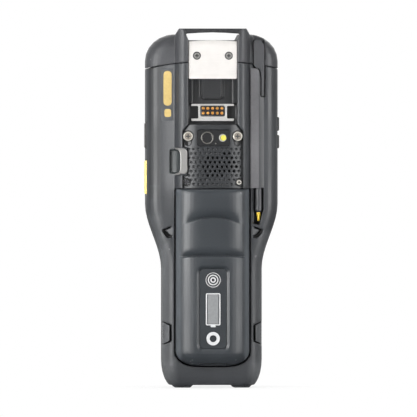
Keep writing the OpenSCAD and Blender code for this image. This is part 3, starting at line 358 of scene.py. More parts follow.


# housing, painted light and shade: the grip's sides and lower corners are painted paler as if lit, the
# head's left edge is painted darker upwards as shade
paintedSideLight = srgb(82, 84, 86)
hollowShade = srgb(12, 12, 13)
shellLightAndShade = [
    ((-38, -30, 16), (-31.5, 0, 92), 4, srgb(76, 78, 80)),
    ((-39, -30, 92), (-33.6, 0, 101), 4, srgb(68, 70, 72)),
    ((-40, -30, 101), (-36, 0, 110), 4, srgb(60, 62, 64)),
    ((31.5, -30, 16), (38, 0, 100), 4, srgb(66, 68, 70)),
    *bothSides((-38, -30, -1), (-31, 0, 11), 10, paintedSideLight),
    ((-40.2, -18, 116), (-35, -10, 122), 2, srgb(44, 46, 49)),
    ((-40.2, -18, 124), (-35, -10, 130), 2, srgb(39, 41, 43)),
    ((-40.2, -18, 133), (-35, -10, 208), 2, srgb(34, 36, 38)),
]
# painted shade in its hollows: the wedge grooves, the left end of the cap's seam, the recess and the space
# under the cover are painted dark, and the strap pocket is given its own shade tone
shellHollowShade = [
    *bothSides((-33.6, -13.9, 99.5), (-25.3, -6, 108), 0.2, hollowShade),
    *bothSides((-31, -13.9, 96.5), (-25.3, -6, 99.6), 0.2, hollowShade),
    ((-44, -26, 207.7), (-38.5, 26, 209.2), 0.3, hollowShade),
    ((-15.6, -19.4, 172), (15.6, -10, 203), 0.6, srgb(32, 33, 35)),
    ((-28.2, -19.5, 139.6), (-20.5, -10, 155.4), 0.3, srgb(48, 53, 54)),
    ((-19.8, -19.6, 129.9), (19.8, -8, 171.6), 0.2, srgb(10, 10, 11)),
]
sweepStarts = range(106, 138, 4)  # heights at which the sweep of the left shoulder grows, step by step
shellSweeps = [((-42, -17, start), (-24.3, -12, 214), -40, -27, -0.04) for start in sweepStarts]
shellPlastic = plastic("shellPlastic", srgb(48, 50, 53), roughness=0.45, zones=shellLightAndShade + shellHollowShade,
                       sweeps=shellSweeps)

# head cap, darker on the strap bar
capPlastic = plastic("capPlastic", srgb(54, 55, 58), grainSize=2200, roughness=0.5,
                     zones=[((-17.9, -24, 229.5), (17.9, -10, 236), 0.8, srgb(32, 33, 36))],
                     sweeps=[((-42, -17, 205), (-24.3, -12, 222), -40, -34, -0.12)])

# battery: its rounded edges are painted paler as light, and its finger scoops are painted darker as shade
# through the wide seam reach
batteryPlastic = plastic("batteryPlastic", srgb(40, 44, 48), roughness=0.37, wear=0.3, seamShade=0.9, reach=4.5,
                         zones=bothSides((-25, -30, 10), (-22, 0, 131), 2.5, srgb(70, 74, 78)))

# camera cover; its screw pockets are painted black as shade
coverPlastic = plastic("coverPlastic", srgb(32, 34, 37), grainSize=3200, roughness=0.4, seamShade=0.9, wear=0.03,
                       zones=bothSides((-20, -19.9, 158.5), (-12.4, -10, 168), 0.2, srgb(8, 8, 9)),
                       sweeps=[((-19.6, -22, 129), (0, -18, 172), -6, -16, -0.24),
                               ((0, -22, 129), (19.6, -18, 172), 7, 17, 0.24)])

# other plastics on the back; the stylus panel's right edge is painted darker as shade
stylusPanelPlastic = plastic("stylusPanelPlastic", srgb(76, 75, 78), roughness=0.5,
                             zones=[((30.3, -20, 100), (36, -10, 215), 0.25, srgb(38, 40, 43))])
panelPlastic = plastic("panelPlastic", srgb(38, 42, 46), grainSize=3400, roughness=0.42, wear=0)
capOfStylus = plastic("capOfStylus", srgb(52, 53, 56), grainSize=3000, roughness=0.38)
darkPlastic = plastic("darkPlastic", srgb(28, 28, 30), grainSize=3600, roughness=0.42, bump=0.15)
latchPlastic = plastic("latchPlastic", srgb(66, 68, 71), grainSize=3000, roughness=0.42)
bedPlastic = plastic("bedPlastic", srgb(62, 64, 67), roughness=0.42)
# painted shade: black for the slots of the screws and the gaps round their heads
paintedRecessShade = plastic("paintedRecessShade", srgb(9, 9, 10), grainSize=4200, roughness=0.5, bump=0.1)
insertPlastic = plastic("insertPlastic", srgb(24, 22, 22), grainSize=4200, roughness=0.35, bump=0.1)
yellowPlastic = plastic("yellowPlastic", srgb(226, 206, 120), grainSize=3800, mottle=0.05, roughness=0.45,
                        bump=0.15, wear=0.05, seamShade=0.3)
tipPlastic = plastic("tipPlastic", srgb(240, 204, 70), grainSize=4200, mottle=0.04, roughness=0.4,
                     bump=0.1, wear=0.05, seamShade=0.3)

# keys, seal and key mat
keyLook = {"grainSize": 5000, "mottle": 0.05, "roughness": 0.6, "bump": 0.1, "wear": 0.05}
keyRubber = plastic("keyRubber", srgb(48, 49, 52), grainSize=5000, mottle=0.06, roughness=0.62, bump=0.1,
                    wear=0.12)
yellowRubber = plastic("yellowRubber", srgb(222, 186, 70), seamShade=0.3, **keyLook)
greenRubber = plastic("greenRubber", srgb(38, 104, 62), **keyLook)
redRubber = plastic("redRubber", srgb(150, 44, 38), **keyLook)
sealRubber = plastic("sealRubber", srgb(24, 24, 25), grainSize=3000, roughness=0.7)
matRubber = plastic("matRubber", srgb(40, 40, 42), grainSize=2600, roughness=0.75)

# inks, label and gauge film, none of them worn
legendInk = plastic("legendInk", srgb(222, 222, 216), grainSize=5200, mottle=0.04, roughness=0.6,
                    bump=0.08, wear=0, seamShade=0)
printInk = plastic("printInk", srgb(182, 183, 184), grainSize=5200, mottle=0.05, roughness=0.5,
                   bump=0.08, wear=0, seamShade=0)
labelGold = plastic("labelGold", srgb(175, 152, 94), grainSize=4600, mottle=0.08, roughness=0.38,
                    bump=0.08, wear=0, seamShade=0.3, coat=0.3)
gaugeFilm = plastic("gaugeFilm", srgb(118, 120, 121), grainSize=5200, mottle=0.02, roughness=0.32,
                    bump=0.03, wear=0, seamShade=0.4, coat=0.2)

# camera and flash
lensCoat = plastic("lensCoat", srgb(9, 9, 12), grainSize=6000, mottle=0.05, roughness=0.14, bump=0.02,
                   wear=0, seamShade=0, coat=0.1)
flashPlastic = plastic("flashPlastic", srgb(190, 182, 66), grainSize=2600, mottle=0.08, roughness=0.25,
                       bump=0.3, wear=0, seamShade=0, coat=0.8)
flashCup = plastic("flashCup", srgb(140, 139, 132), grainSize=4000, mottle=0.05, roughness=0.4, wear=0,
                   seamShade=0.3)

# inside; the speaker cloth is black, painted darker still as the shade seen through the sound holes
speakerCloth = plastic("speakerCloth", srgb(7, 7, 8), grainSize=5200, mottle=0.2, roughness=0.9, bump=0.8)
boardGreen = plastic("boardGreen", srgb(20, 70, 45), grainSize=1500, mottle=0.2, roughness=0.45, coat=0.3)
cellSleeve = plastic("cellSleeve", srgb(60, 96, 120), grainSize=1200, mottle=0.08, roughness=0.35, coat=0.3)
displayPanel = plastic("displayPanel", srgb(38, 42, 44), grainSize=4200, mottle=0.04, roughness=0.3,
                       bump=0.05)

# metals
evenly = (2500, 2500, 2500)
plateSteel = metal("plateSteel", (0.73, 0.705, 0.68), stretch=(70, 900, 7000), roughness=0.38,
                   variation=0.14, metallic=0.55)
bandSteel = metal("bandSteel", (0.42, 0.41, 0.4), stretch=(900, 900, 300), roughness=0.34,
                  variation=0.03, seamShade=0.3, bump=0.01)
frameSteel = metal("frameSteel", (0.86, 0.85, 0.83), stretch=(120, 900, 4000), roughness=0.3, seamShade=0.3)
screwSteel = metal("screwSteel", (0.92, 0.88, 0.8), stretch=(1500, 1500, 1500), roughness=0.36,
                   variation=0.08)
plateScrewSteel = metal("plateScrewSteel", (0.45, 0.44, 0.42), evenly, roughness=0.34, variation=0.2)
dishSteel = metal("dishSteel", (0.42, 0.37, 0.31), evenly, roughness=0.42, variation=0.1)
darkSteel = metal("darkSteel", (0.16, 0.16, 0.17), evenly, roughness=0.38, variation=0.2)
ringSteel = metal("ringSteel", (0.28, 0.27, 0.25), evenly, roughness=0.35, variation=0.1)
contactGold = metal("contactGold", (0.95, 0.5, 0.13), evenly, roughness=0.32, variation=0.15, seamShade=0.4)

# windows
windowGlass = glass("windowGlass", srgb(13, 14, 16), roughness=0.12)
displayGlass = glass("displayGlass", srgb(15, 17, 19), roughness=0.08)
scanGlass = glass("scanGlass", srgb(58, 8, 10), roughness=0.05, transmission=0.35)
print("materials ready")


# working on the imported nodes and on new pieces: merging distance in mm, angles in degrees
work = {"mergeWithin": 0.01, "flatWithin": 0.6, "flatWeight": 100, "roundedAngle": 32, "cutAngle": 34,
        "mouldedAngle": 60, "edgeAngle": 38, "edgeSegments": 2, "relax": 0.5, "ringSides": 64,
        "cornerSteps": 8}


def deselect():
    bpy.ops.object.select_all(action="DESELECT")


def onlySelect(piece):
    deselect()
    piece.select_set(True)
    bpy.context.view_layer.objects.active = piece


def editing(on):
    bpy.ops.object.mode_set(mode="EDIT" if on else "OBJECT")


def applyModifiers(piece):
    onlySelect(piece)
    for modifier in list(piece.modifiers):
        bpy.ops.object.modifier_apply(modifier=modifier.name)


# large flat faces keep their own direction up to the rounded edges
def smoothed(piece, angle=work["roundedAngle"], weighted=True):
    onlySelect(piece)
    bpy.ops.object.shade_smooth_by_angle(angle=math.radians(angle))
    if weighted:
        flats = piece.modifiers.new("flats", "WEIGHTED_NORMAL")
        flats.keep_sharp = True
        flats.weight = work["flatWeight"]
        applyModifiers(piece)


def paint(piece, material):
    piece.data.materials.clear()
    piece.data.materials.append(material)


def softened(piece, width, angle=work["edgeAngle"], segments=work["edgeSegments"]):
    edges = piece.modifiers.new("edges", "BEVEL")
    edges.width = width * mm
    edges.segments = segments
    edges.limit_method = "ANGLE"
    edges.angle_limit = math.radians(angle)
    edges.miter_outer = "MITER_ARC"


def bodyOf(name):
    return frame["nodes"][name]["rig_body"]


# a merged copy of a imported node, which then stands for the node
def nodeCopy(name):
    source = frame["nodes"][name]
    piece = source.copy()
    piece.data = source.data.copy()
    piece.name = name + "_finish"
    piece.parent = None
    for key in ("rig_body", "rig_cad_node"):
        if key in piece:
            del piece[key]
    scene.collection.objects.link(piece)
    onlySelect(piece)
    editing(True)
    bpy.ops.mesh.select_all(action="SELECT")
    bpy.ops.mesh.remove_doubles(threshold=work["mergeWithin"] * mm)
    editing(False)
    return piece


def standFor(piece, name, material, smooth, weighted=True):
    paint(piece, material)
    smoothed(piece, smooth, weighted)
    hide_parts(name)
    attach(piece, bodyOf(name))
    return piece


# machined and stamped parts: flat faces joined, sharp edges broken
def finishedCopy(name, material, bevel, angle=work["edgeAngle"], segments=work["edgeSegments"],
                 smooth=work["cutAngle"]):
    piece = nodeCopy(name)
    editing(True)
    bpy.ops.mesh.dissolve_limited(angle_limit=math.radians(work["flatWithin"]))
    editing(False)
    if bevel:
        softened(piece, bevel, angle, segments)
        applyModifiers(piece)
    return standFor(piece, name, material, smooth)


# drops the closed spaces inside a shell
def dropInside(piece):
    outermost = min(piece.data.vertices, key=lambda vertex: vertex.co.y).index
    editing(True)
    bpy.ops.mesh.select_all(action="DESELECT")
    editing(False)
    piece.data.vertices[outermost].select = True
    editing(True)
    bpy.ops.mesh.select_linked()
    bpy.ops.mesh.select_all(action="INVERT")
    bpy.ops.mesh.delete(type="VERT")
    editing(False)


# mouldings: one even skin over the outside, with every edge run soft as the tool leaves it
def mouldedCopy(name, material, cell, passes, keep, solid=False, shape=None):
    piece = nodeCopy(name)
    if solid:
        dropInside(piece)
    skin = piece.modifiers.new("skin", "REMESH")
    skin.mode = "VOXEL"
    skin.voxel_size = cell * mm
    relaxed = piece.modifiers.new("relaxed", "SMOOTH")
    relaxed.factor = work["relax"]
    relaxed.iterations = passes
    thinned = piece.modifiers.new("thinned", "DECIMATE")
    thinned.ratio = keep
    applyModifiers(piece)
    if shape:
        shape(piece)
    print("moulded", name, len(piece.data.polygons), "faces")
    return standFor(piece, name, material, work["mouldedAngle"], weighted=False)


# thin printed or fitted shapes on the back: raises the active flat shape, which is drawn in X and Z,
# so that its outer face lies at -face in Y
def raisedPiece(name, material, face, thick, body, bevel=0.0, shape=None):
    piece = bpy.context.object
    piece.name = name
    bpy.ops.object.transform_apply(location=True, rotation=True, scale=True)
    solid = piece.modifiers.new("solid", "SOLIDIFY")
    solid.thickness = thick * mm
    solid.offset = 1
    if bevel:
        softened(piece, bevel)
    applyModifiers(piece)
    editing(True)
    bpy.ops.mesh.select_all(action="SELECT")
    bpy.ops.mesh.normals_make_consistent(inside=False)
    editing(False)
    low = min(vertex.co.y for vertex in piece.data.vertices)
    for vertex in piece.data.vertices:
        vertex.co.y += -face * mm - low
    if shape:
        shape(piece)
    paint(piece, material)
    smoothed(piece)
    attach(piece, body)
    return piece


# a flat ring, or a disc where it has no hole
def ring(name, x, z, outer, inner, face, thick, material, body, bevel=0.0):
    deselect()
    bpy.ops.mesh.primitive_circle_add(radius=outer * mm, vertices=work["ringSides"], fill_type="NGON",
                                      location=(x * mm, 0, z * mm), rotation=(math.radians(90), 0, 0))
    editing(True)
    bpy.ops.mesh.select_all(action="SELECT")
    if inner:
        bpy.ops.mesh.inset(thickness=(outer - inner) * mm)
        bpy.ops.mesh.delete(type="FACE")
    editing(False)
    return raisedPiece(name, material, face, thick, body, bevel)


# a rounded rectangle, or only its border
def tile(name, low, high, corner, border, face, thick, material, body, bevel=0.0):
    middle = ((low[0] + high[0]) / 2 * mm, 0, (low[1] + high[1]) / 2 * mm)
    deselect()
    bpy.ops.mesh.primitive_plane_add(size=1, location=middle, rotation=(math.radians(90), 0, 0))
    bpy.context.object.scale = ((high[0] - low[0]) * mm, (high[1] - low[1]) * mm, 1)
    bpy.ops.object.transform_apply(location=False, rotation=False, scale=True)
    editing(True)
    bpy.ops.mesh.select_all(action="SELECT")
    bpy.ops.mesh.bevel(offset=corner * mm, segments=work["cornerSteps"], affect="VERTICES",
                       clamp_overlap=True)
    bpy.ops.mesh.select_all(action="SELECT")
    if border:
        bpy.ops.mesh.inset(thickness=border * mm)
        bpy.ops.mesh.delete(type="FACE")
    editing(False)
    return raisedPiece(name, material, face, thick, body, bevel)


# any flat shape from its outline
def outlined(name, outline, face, thick, material, body, bevel=0.0, shape=None):
    deselect()
    bpy.ops.mesh.primitive_circle_add(vertices=len(outline), fill_type="NGON",
                                      rotation=(math.radians(90), 0, 0))
    bpy.ops.object.transform_apply(location=True, rotation=True, scale=True)
    for vertex, (x, z) in zip(bpy.context.object.data.vertices, outline):
        vertex.co = (x * mm, 0, z * mm)
    return raisedPiece(name, material, face, thick, body, bevel, shape)


# a flat cross, as a screwdriver's slots show it
def crossAt(name, x, z, arm, slot, face, thick, material, body):
    corners = []
    for turn in range(4):
        angle = math.radians(90 * turn)
        for along, beside in ((slot, slot), (arm, slot), (arm, -slot)):
            corners.append((x + along * math.cos(angle) + beside * math.sin(angle),
                            z + along * math.sin(angle) - beside * math.cos(angle)))
    ordered = sorted(corners, key=lambda c: math.atan2(c[1] - z, c[0] - x))
    return outlined(name, ordered, face, thick, material, body)


# housing, cap and battery: cell of the skin in mm, smoothing passes, share of faces kept, spaces dropped
mouldings = {
    "rear_housing": (shellPlastic, 0.5, 1, 0.3, False),
    "front_housing": (shellPlastic, 0.6, 1, 0.4, False),
    "head_cap": (capPlastic, 0.42, 2, 0.5, False),
    "battery_case": (batteryPlastic, 0.36, 2, 0.5, True),
}
for nodeName, settings in mouldings.items():
    mouldedCopy(nodeName, *settings)

# the camera cover: its face falls away towards both sides, and its small screws sit flush in it
cover = {"flat": 7.5, "half": 19.6, "drop": 1.6, "cell": 0.22, "passes": 1, "keep": 0.5, "screw": 2.3}


def coverDrop(x):
    beyond = max(0, abs(x) / mm - cover["flat"])
    return cover["drop"] * mm * (beyond / (cover["half"] - cover["flat"])) ** 2


def crowned(piece):
    for vertex in piece.data.vertices:
        vertex.co.y += coverDrop(vertex.co.x)


mouldedCopy("camera_cover", coverPlastic, cover["cell"], cover["passes"], cover["keep"], shape=crowned)

# copies with their edges broken: material and width of the edge in mm
finishes = {
    "mount_plate": (plateSteel, 0.12),
    "connector_frame": (frameSteel, 0.14),
    "connector_block": (insertPlastic, 0.0),
    "camera_window": (windowGlass, 0.15),
    "stylus_panel": (stylusPanelPlastic, 0.25),
    "shoulder_screws": (screwSteel, 0.2),
    "mount_plate_screws": (plateScrewSteel, 0.06),
    "display_window": (displayGlass, 0.3),
    "keypad_bezel": (panelPlastic, 0.15),
    "gauge_panel": (panelPlastic, 0.12),
    "gauge_button": (panelPlastic, 0.08),
    "gauge_display": (gaugeFilm, 0.06),
    "stylus_barrel": (capOfStylus, 0.5),
    "stylus_tip": (tipPlastic, 0.0),
    "release_left": (latchPlastic, 0.25),
    "release_right": (latchPlastic, 0.25),
    "scan_button": (yellowPlastic, 0.3),
    "side_key_left": (darkPlastic, 0.3),
    "side_key_upper": (darkPlastic, 0.3),
    "side_key_lower": (darkPlastic, 0.3),
    "scan_window": (scanGlass, 0.15),
    "dock_connector": (insertPlastic, 0.15),
    "connector_contacts": (contactGold, 0.08),
    "flash_lens": (flashPlastic, 0.12),
    "cover_screws": (darkSteel, 0.1),
}
smoothAngle = {"gauge_panel": 6}  # its broken edge stays apart from its wide flat face
for nodeName, (material, bevel) in finishes.items():
    finishedCopy(nodeName, material, bevel, smooth=smoothAngle.get(nodeName, work["cutAngle"]))
print("finished copies:", len(finishes))

# the small screws follow the cover's face
smallScrews = bpy.data.objects["cover_screws_finish"]
screwSide = max(vertex.co.x for vertex in smallScrews.data.vertices) - cover["screw"] * mm
for vertex in smallScrews.data.vertices:
    vertex.co.y += coverDrop(screwSide)

# hidden inner ends of the buttons, cut back so that they stay free of the rounded pockets when pressed
trims = {"gauge_button": 0.6, "release_left": 0.4, "release_right": 0.4}
endBand = 0.3  # the inner end and its broken edge
for nodeName, cut in trims.items():
    button = bpy.data.objects[nodeName + "_finish"]
    deepest = max(vertex.co.y for vertex in button.data.vertices)
    for vertex in button.data.vertices:
        if vertex.co.y > deepest - endBand * mm:
            vertex.co.y -= cut * mm

# nodes kept as they are, with their materials
keptNodes = {
    "housing_seal": sealRubber, "housing_screws": darkSteel, "camera_module": darkPlastic,
    "speaker": speakerCloth, "lcd_panel": displayPanel, "keypad_mat": matRubber, "keypad_board": boardGreen,
    "main_board": boardGreen, "scan_engine": darkPlastic, "battery_terminals": contactGold,
    "battery_cells": cellSleeve,
}
for nodeName, material in keptNodes.items():
    paint(frame["nodes"][nodeName], material)

# gauge on the battery: printed rings on the button, a printed frame round the display, a plain badge
gauge = {
    "x": 0, "buttonZ": 70.3, "buttonFace": 24.5, "rings": ((4.84, 4.45), (3.45, 2.75), (1.8, 1.0)),
    "ringThick": 0.08, "panelFace": 24.46, "frameLow": (-4.75, 40.75), "frameHigh": (4.75, 61.65),
    "frameCorner": 0.9, "frameLine": 0.75, "nubLow": (-1.6, 39.6), "nubHigh": (1.6, 40.8), "nubCorner": 0.3,
    "ink": 0.06, "badgeZ": 32.1, "badgeOuter": 4.35, "badgeInner": 2.25, "badgeRise": 0.14,
    "badgeThick": 0.2, "badgeEdge": 0.05,
}
gaugeBody = bodyOf("gauge_panel")
for number, (outer, inner) in enumerate(gauge["rings"]):
    ring("gauge_ring_%d" % number, gauge["x"], gauge["buttonZ"], outer, inner, gauge["buttonFace"],
         gauge["ringThick"], printInk, bodyOf("gauge_button"))
tile("gauge_frame", gauge["frameLow"], gauge["frameHigh"], gauge["frameCorner"], gauge["frameLine"],
     gauge["panelFace"], gauge["ink"], printInk, gaugeBody)
tile("gauge_nub", gauge["nubLow"], gauge["nubHigh"], gauge["nubCorner"], 0, gauge["panelFace"],
     gauge["ink"], printInk, gaugeBody)
ring("badge_ring", gauge["x"], gauge["badgeZ"], gauge["badgeOuter"], gauge["badgeInner"],
     gauge["panelFace"] + gauge["badgeRise"], gauge["badgeThick"], printInk, gaugeBody, gauge["badgeEdge"])

# strap loop: a bent steel band whose two legs lean back into the pocket
strap = {
    "outline": (
        (-24.6, 156.5), (-23.2, 156.4), (-21.6, 156.3), (-19.6, 156.1), (-18.2, 155.6), (-17.3, 154.7),
        (-16.8, 153.4), (-16.8, 141.2), (-17.1, 140.2), (-17.9, 139.6), (-19.4, 139.3), (-21.3, 139.0),
        (-23.0, 138.6), (-24.7, 138.4), (-24.7, 139.5), (-23.4, 139.9), (-22.2, 140.5), (-21.6, 141.4),
        (-21.3, 142.8), (-21.1, 147.2), (-21.2, 151.6), (-21.6, 153.3), (-22.3, 154.4), (-23.3, 155.1),
        (-24.6, 155.5)),
    "face": 22.05, "thick": 0.8, "edge": 0.34, "bend": -21.6, "lean": 1.5,
}


def leantBack(piece):
    for vertex in piece.data.vertices:
        vertex.co.y += max(0, strap["bend"] * mm - vertex.co.x) * strap["lean"]


band = outlined("strap_band", strap["outline"], strap["face"], strap["thick"], bandSteel,
                bodyOf("strap_loop"), strap["edge"], leantBack)
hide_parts("strap_loop")


# right-hand edge, middle height and outer face of a node on the back, in millimetres
def edgesOf(name):
    low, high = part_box(name)
    return high[0] / mm, (low[2] + high[2]) / 2 / mm, -low[1] / mm


# screws of the cover: dished heads with a cross painted dark as the shade in its slots at the shoulders,
# rims painted dark as the shade round the heads at the lower corners
shoulder = {"x": 16.15, "dish": 2.2, "face": 21.1, "dishThick": 0.05, "arm": 1.5, "slot": 0.42,
            "crossThick": 0.06}
small = {"rim": 0.3, "rimRise": 0.06, "rimEdge": 0.08, "head": 1.55, "headRise": 0.03, "thick": 0.3,
         "arm": 1.0, "slot": 0.3, "crossRise": 0.07, "crossThick": 0.06}
shoulderBody = bodyOf("shoulder_screws")
shoulderZ = edgesOf("shoulder_screws")[1]
smallBody = bodyOf("cover_screws")
smallEdge, smallZ, smallTop = edgesOf("cover_screws")
smallX = smallEdge - cover["screw"]
smallFace = smallTop - coverDrop(smallX * mm) / mm
for side, label in ((-1, "left"), (1, "right")):
    ring("shoulder_dish_" + label, side * shoulder["x"], shoulderZ, shoulder["dish"], 0, shoulder["face"],
         shoulder["dishThick"], dishSteel, shoulderBody)
    crossAt("shoulder_cross_" + label, side * shoulder["x"], shoulderZ, shoulder["arm"], shoulder["slot"],
            shoulder["face"] + shoulder["dishThick"], shoulder["crossThick"], paintedRecessShade, shoulderBody)
    ring("small_rim_" + label, side * smallX, smallZ, cover["screw"] + small["rim"], small["head"],
         smallFace + small["rimRise"], small["thick"], paintedRecessShade, smallBody, small["rimEdge"])

# screws of the plate: thin rims and crosses painted dark as the shade in the gaps and slots
plate = {"rim": 2.45, "rimWidth": 0.45, "around": 0.1, "face": 20.46, "thick": 0.06, "arm": 1.2,
         "slot": 0.26}
plateBody = bodyOf("mount_plate_screws")
plateEdge, plateZ = edgesOf("mount_plate_screws")[:2]
plateX = plateEdge - plate["rim"]
for side, label in ((-1, "left"), (1, "right")):
    ring("plate_rim_" + label, side * plateX, plateZ, plate["rim"] + plate["around"],
         plate["rim"] - plate["rimWidth"], plate["face"], plate["thick"], paintedRecessShade, plateBody)
    crossAt("plate_cross_" + label, side * plateX, plateZ, plate["arm"], plate["slot"], plate["face"],
            plate["thick"], paintedRecessShade, plateBody)

# the right one of the small screws has a pale head, with a cross painted dark as the shade in its slots
ring("small_head_right", smallX, smallZ, small["head"], 0, smallFace + small["headRise"], small["thick"],
     screwSteel, smallBody)
crossAt("small_cross_right", smallX, smallZ, small["arm"], small["slot"], smallFace + small["crossRise"],
        small["crossThick"], paintedRecessShade, smallBody)

# camera: a proud ring with a domed lens, the flash in its cup, and a tiny dot; each has its place, its
# radii, how proud of the window it stands, its thickness, material and edge
camera = {"x": -3.7, "z": 162.8, "flashX": 6.9, "cupX": 6.4, "dotX": 1.8, "dotZ": 159.1, "face": 20.6}
cameraPieces = {
    "camera_ring": (camera["x"], camera["z"], 4.05, 3.35, 0.35, 0.5, ringSteel, 0.12),
    "camera_lens": (camera["x"], camera["z"], 3.3, 0, 0.2, 0.3, lensCoat, 0.1),
    "flash_cup": (camera["cupX"], camera["z"], 2.45, 1.6, 0.18, 0.3, flashCup, 0.08),
    "flash_dome": (camera["flashX"], camera["z"], 1.85, 0, 0.3, 0.5, flashPlastic, 0.2),
    "camera_dot": (camera["dotX"], camera["dotZ"], 0.45, 0, 0.08, 0.15, ringSteel, 0.0),
}
for name, (x, z, outer, inner, proud, thick, material, bevel) in cameraPieces.items():
    ring(name, x, z, outer, inner, camera["face"] + proud, thick, material, bodyOf("camera_window"), bevel)

# plain gold label and a small gold lozenge on the left shoulder, in a shallow bed: corners of each,
# corner radius, height of its face and material
labelThick, labelEdge = 0.4, 0.05
labels = {
    "label_bed": ((-33.6, 173.6), (-25.6, 208.2), 1.2, 16.06, bedPlastic),
    "label_gold": ((-32, 183.8), (-26.7, 206.4), 2.4, 16.12, labelGold),
    "label_small": ((-31.4, 176.4), (-27.0, 181.6), 1.4, 16.12, labelGold),
}
for name, (low, high, corner, face, material) in labels.items():
    tile(name, low, high, corner, 0, face, labelThick, material, bodyOf("rear_housing"), labelEdge)
print("back details added")

# keypad
keyShape = {"edge": 0.7, "angle": 40, "segments": 3}
keyColours = {"key_scan": yellowRubber, "key_call": greenRubber, "key_end": redRubber}
keyNames = [name for name in frame["nodes"] if name.startswith("key_")]
for nodeName in keyNames:
    finishedCopy(nodeName, keyColours.get(nodeName, keyRubber), keyShape["edge"], keyShape["angle"],
                 keyShape["segments"])
print("keys finished:", len(keyNames))

# legends: printed digits, and a larger point that is raised to the middle of its key
keyText = {"size": 6.2, "depth": 0.05, "gap": 0.02, "pointSize": 8.06, "pointRise": 1.5}


def legend(name, text, size, rise=0):
    low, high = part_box(name)
    deselect()
    bpy.ops.object.text_add(location=(0, 0, 0))
    words = bpy.context.object
    words.data.body = text
    words.data.size = size * mm
    words.data.align_x = "CENTER"
    words.data.align_y = "CENTER"
    words.data.extrude = keyText["depth"] * mm
    bpy.ops.object.convert(target="MESH")
    words = bpy.context.object
    words.rotation_euler = (math.radians(90), 0, math.radians(180))
    words.location = ((low[0] + high[0]) / 2, high[1] + keyText["gap"] * mm,
                      (low[2] + high[2]) / 2 + rise * mm)
    bpy.ops.object.transform_apply(location=True, rotation=True, scale=True)
    words.name = name + "_legend"
    paint(words, legendInk)
    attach(words, bodyOf(name))


for digit in range(10):
    legend("key_%d" % digit, str(digit), keyText["size"])
legend("key_point", ".", keyText["pointSize"], keyText["pointRise"])
print("legends printed")

# studio
studio = {"wide": 0.2722, "far": 8.0, "aim": (-0.00196, 0.0, 0.1167), "azimuth": -2.5, "elevation": 0.3,
          "sensor": 36, "clipEnd": 50}
around = math.radians(studio["azimuth"])
lifted = math.radians(studio["elevation"])
level = math.cos(lifted)
toCamera = Vector((math.sin(around) * level, -math.cos(around) * level, math.sin(lifted)))
cameraData = bpy.data.cameras.new("studioCamera")
cameraData.sensor_width = studio["sensor"]
cameraData.lens = studio["sensor"] * studio["far"] / studio["wide"]
cameraData.clip_end = studio["clipEnd"]
cameraObject = bpy.data.objects.new("studioCamera", cameraData)
scene.collection.objects.link(cameraObject)
cameraObject.location = Vector(studio["aim"]) + toCamera * studio["far"]
cameraObject.rotation_euler = (-toCamera).to_track_quat("-Z", "Y").to_euler()
scene.camera = cameraObject

lamps = {  # angle from the back's own direction, distance, height, width, length, brightness
    "leftStrip": (-46, 0.55, 0.16, 0.26, 0.55, 11.5),
    "rightStrip": (47, 0.9, 0.16, 0.36, 0.8, 9.0),
    "front": (-4, 2.5, 0.35, 1.3, 1.3, 0.7),
    "above": (0, 0.4, 1.2, 0.8, 0.4, 2.0),
    "behind": (165, 1.5, 0.8, 1.1, 1.1, 2.0),
}
lampAim = Vector((0, 0, 0.12))
for lampName, (angle, distance, lampHeight, wide, high, brightness) in lamps.items():
    turned = math.radians(angle)
    lampPlace = Vector((distance * math.sin(turned), -distance * math.cos(turned), lampHeight))
    lampData = bpy.data.lights.new(lampName, "AREA")
    lampData.shape = "RECTANGLE"
    lampData.size = wide
    lampData.size_y = high
    lampData.energy = brightness * math.pi * wide * high
    lamp = bpy.data.objects.new(lampName, lampData)
    scene.collection.objects.link(lamp)
    lamp.location = lampPlace
    lamp.rotation_euler = (lampAim - lampPlace).to_track_quat("-Z", "Y").to_euler()
    lamp.visible_camera = False

# floor: pale paper that keeps the shadow near the object and runs out to plain white
paper = {"wide": 24, "roughness": 0.9, "toneLow": (0.74, 0.74, 0.74, 1), "toneHigh": (0.78, 0.78, 0.78, 1),
         "tooth": 60, "whiteStart": 0.03, "whiteFull": 0.08, "nearWhite": 0.76, "mirrorLight": 0.05,
         "mirrorShare": 0.85}
deselect()
bpy.ops.mesh.primitive_plane_add(size=1, location=(0, 0, 0))
floor = bpy.context.object
floor.name = "floor"
floor.scale = (paper["wide"], paper["wide"], 1)
bpy.ops.object.transform_apply(scale=True)
paperWhite, tree, shader = newMaterial("paperWhite")
place = node(tree, "ShaderNodeTexCoord").outputs["Object"]
tooth = node(tree, "ShaderNodeTexNoise", {"Scale": paper["tooth"]})
paperTone = node(tree, "ShaderNodeValToRGB")
paperTone.color_ramp.elements[0].color = paper["toneLow"]
paperTone.color_ramp.elements[1].color = paper["toneHigh"]
shader.inputs["Roughness"].default_value = paper["roughness"]
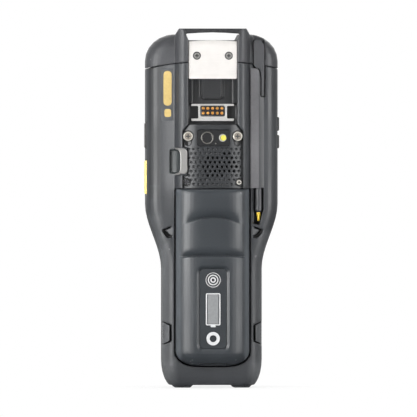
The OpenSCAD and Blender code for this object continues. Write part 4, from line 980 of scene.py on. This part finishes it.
away = node(tree, "ShaderNodeVectorMath", operation="LENGTH")
glow = node(tree, "ShaderNodeEmission", {"Color": (1, 1, 1, 1), "Strength": 1.0})
turn = node(tree, "ShaderNodeMixShader")
dim = node(tree, "ShaderNodeEmission", {"Color": (1, 1, 1, 1), "Strength": paper["mirrorLight"]})
mirrored = node(tree, "ShaderNodeMixShader")
seen = node(tree, "ShaderNodeLightPath")
whiter = spread(tree, away.outputs["Value"], paper["whiteStart"], paper["whiteFull"], paper["nearWhite"])
wire(tree, (place, tooth.inputs["Vector"]), (tooth.outputs["Fac"], paperTone.inputs["Fac"]),
     (paperTone.outputs["Color"], shader.inputs["Base Color"]), (place, away.inputs[0]),
     (times(tree, seen.outputs["Is Camera Ray"], whiter), turn.inputs["Fac"]),
     (shader.outputs["BSDF"], turn.inputs[1]), (glow.outputs["Emission"], turn.inputs[2]),
     (turn.outputs["Shader"], mirrored.inputs[1]), (dim.outputs["Emission"], mirrored.inputs[2]),
     (times(tree, seen.outputs["Is Glossy Ray"], paper["mirrorShare"]), mirrored.inputs["Fac"]),
     (mirrored.outputs["Shader"], tree.nodes["Material Output"].inputs["Surface"]))
paint(floor, paperWhite)

# sky: plain white to the camera, and a light that grows from the back's side towards the front's
light = {"start": -0.1, "full": 0.5, "weak": 0.3, "strong": 0.9}
world = bpy.data.worlds.new("studioWorld")
scene.world = world
world.use_nodes = True
sky = world.node_tree
background = sky.nodes["Background"]
background.inputs["Color"].default_value = (1, 1, 1, 1)
seen = node(sky, "ShaderNodeLightPath")
towards = node(sky, "ShaderNodeSeparateXYZ")
wire(sky, (node(sky, "ShaderNodeTexCoord").outputs["Generated"], towards.inputs["Vector"]))
backdrop = spread(sky, towards.outputs["Y"], light["start"], light["full"])
plain = larger(sky, seen.outputs["Is Camera Ray"], seen.outputs["Is Transmission Ray"])
soft = spread(sky, backdrop, 0, 1, light["weak"], light["strong"])
wire(sky, (larger(sky, plain, soft), background.inputs["Strength"]))

scene.view_settings.view_transform = "Standard"
print("studio set")
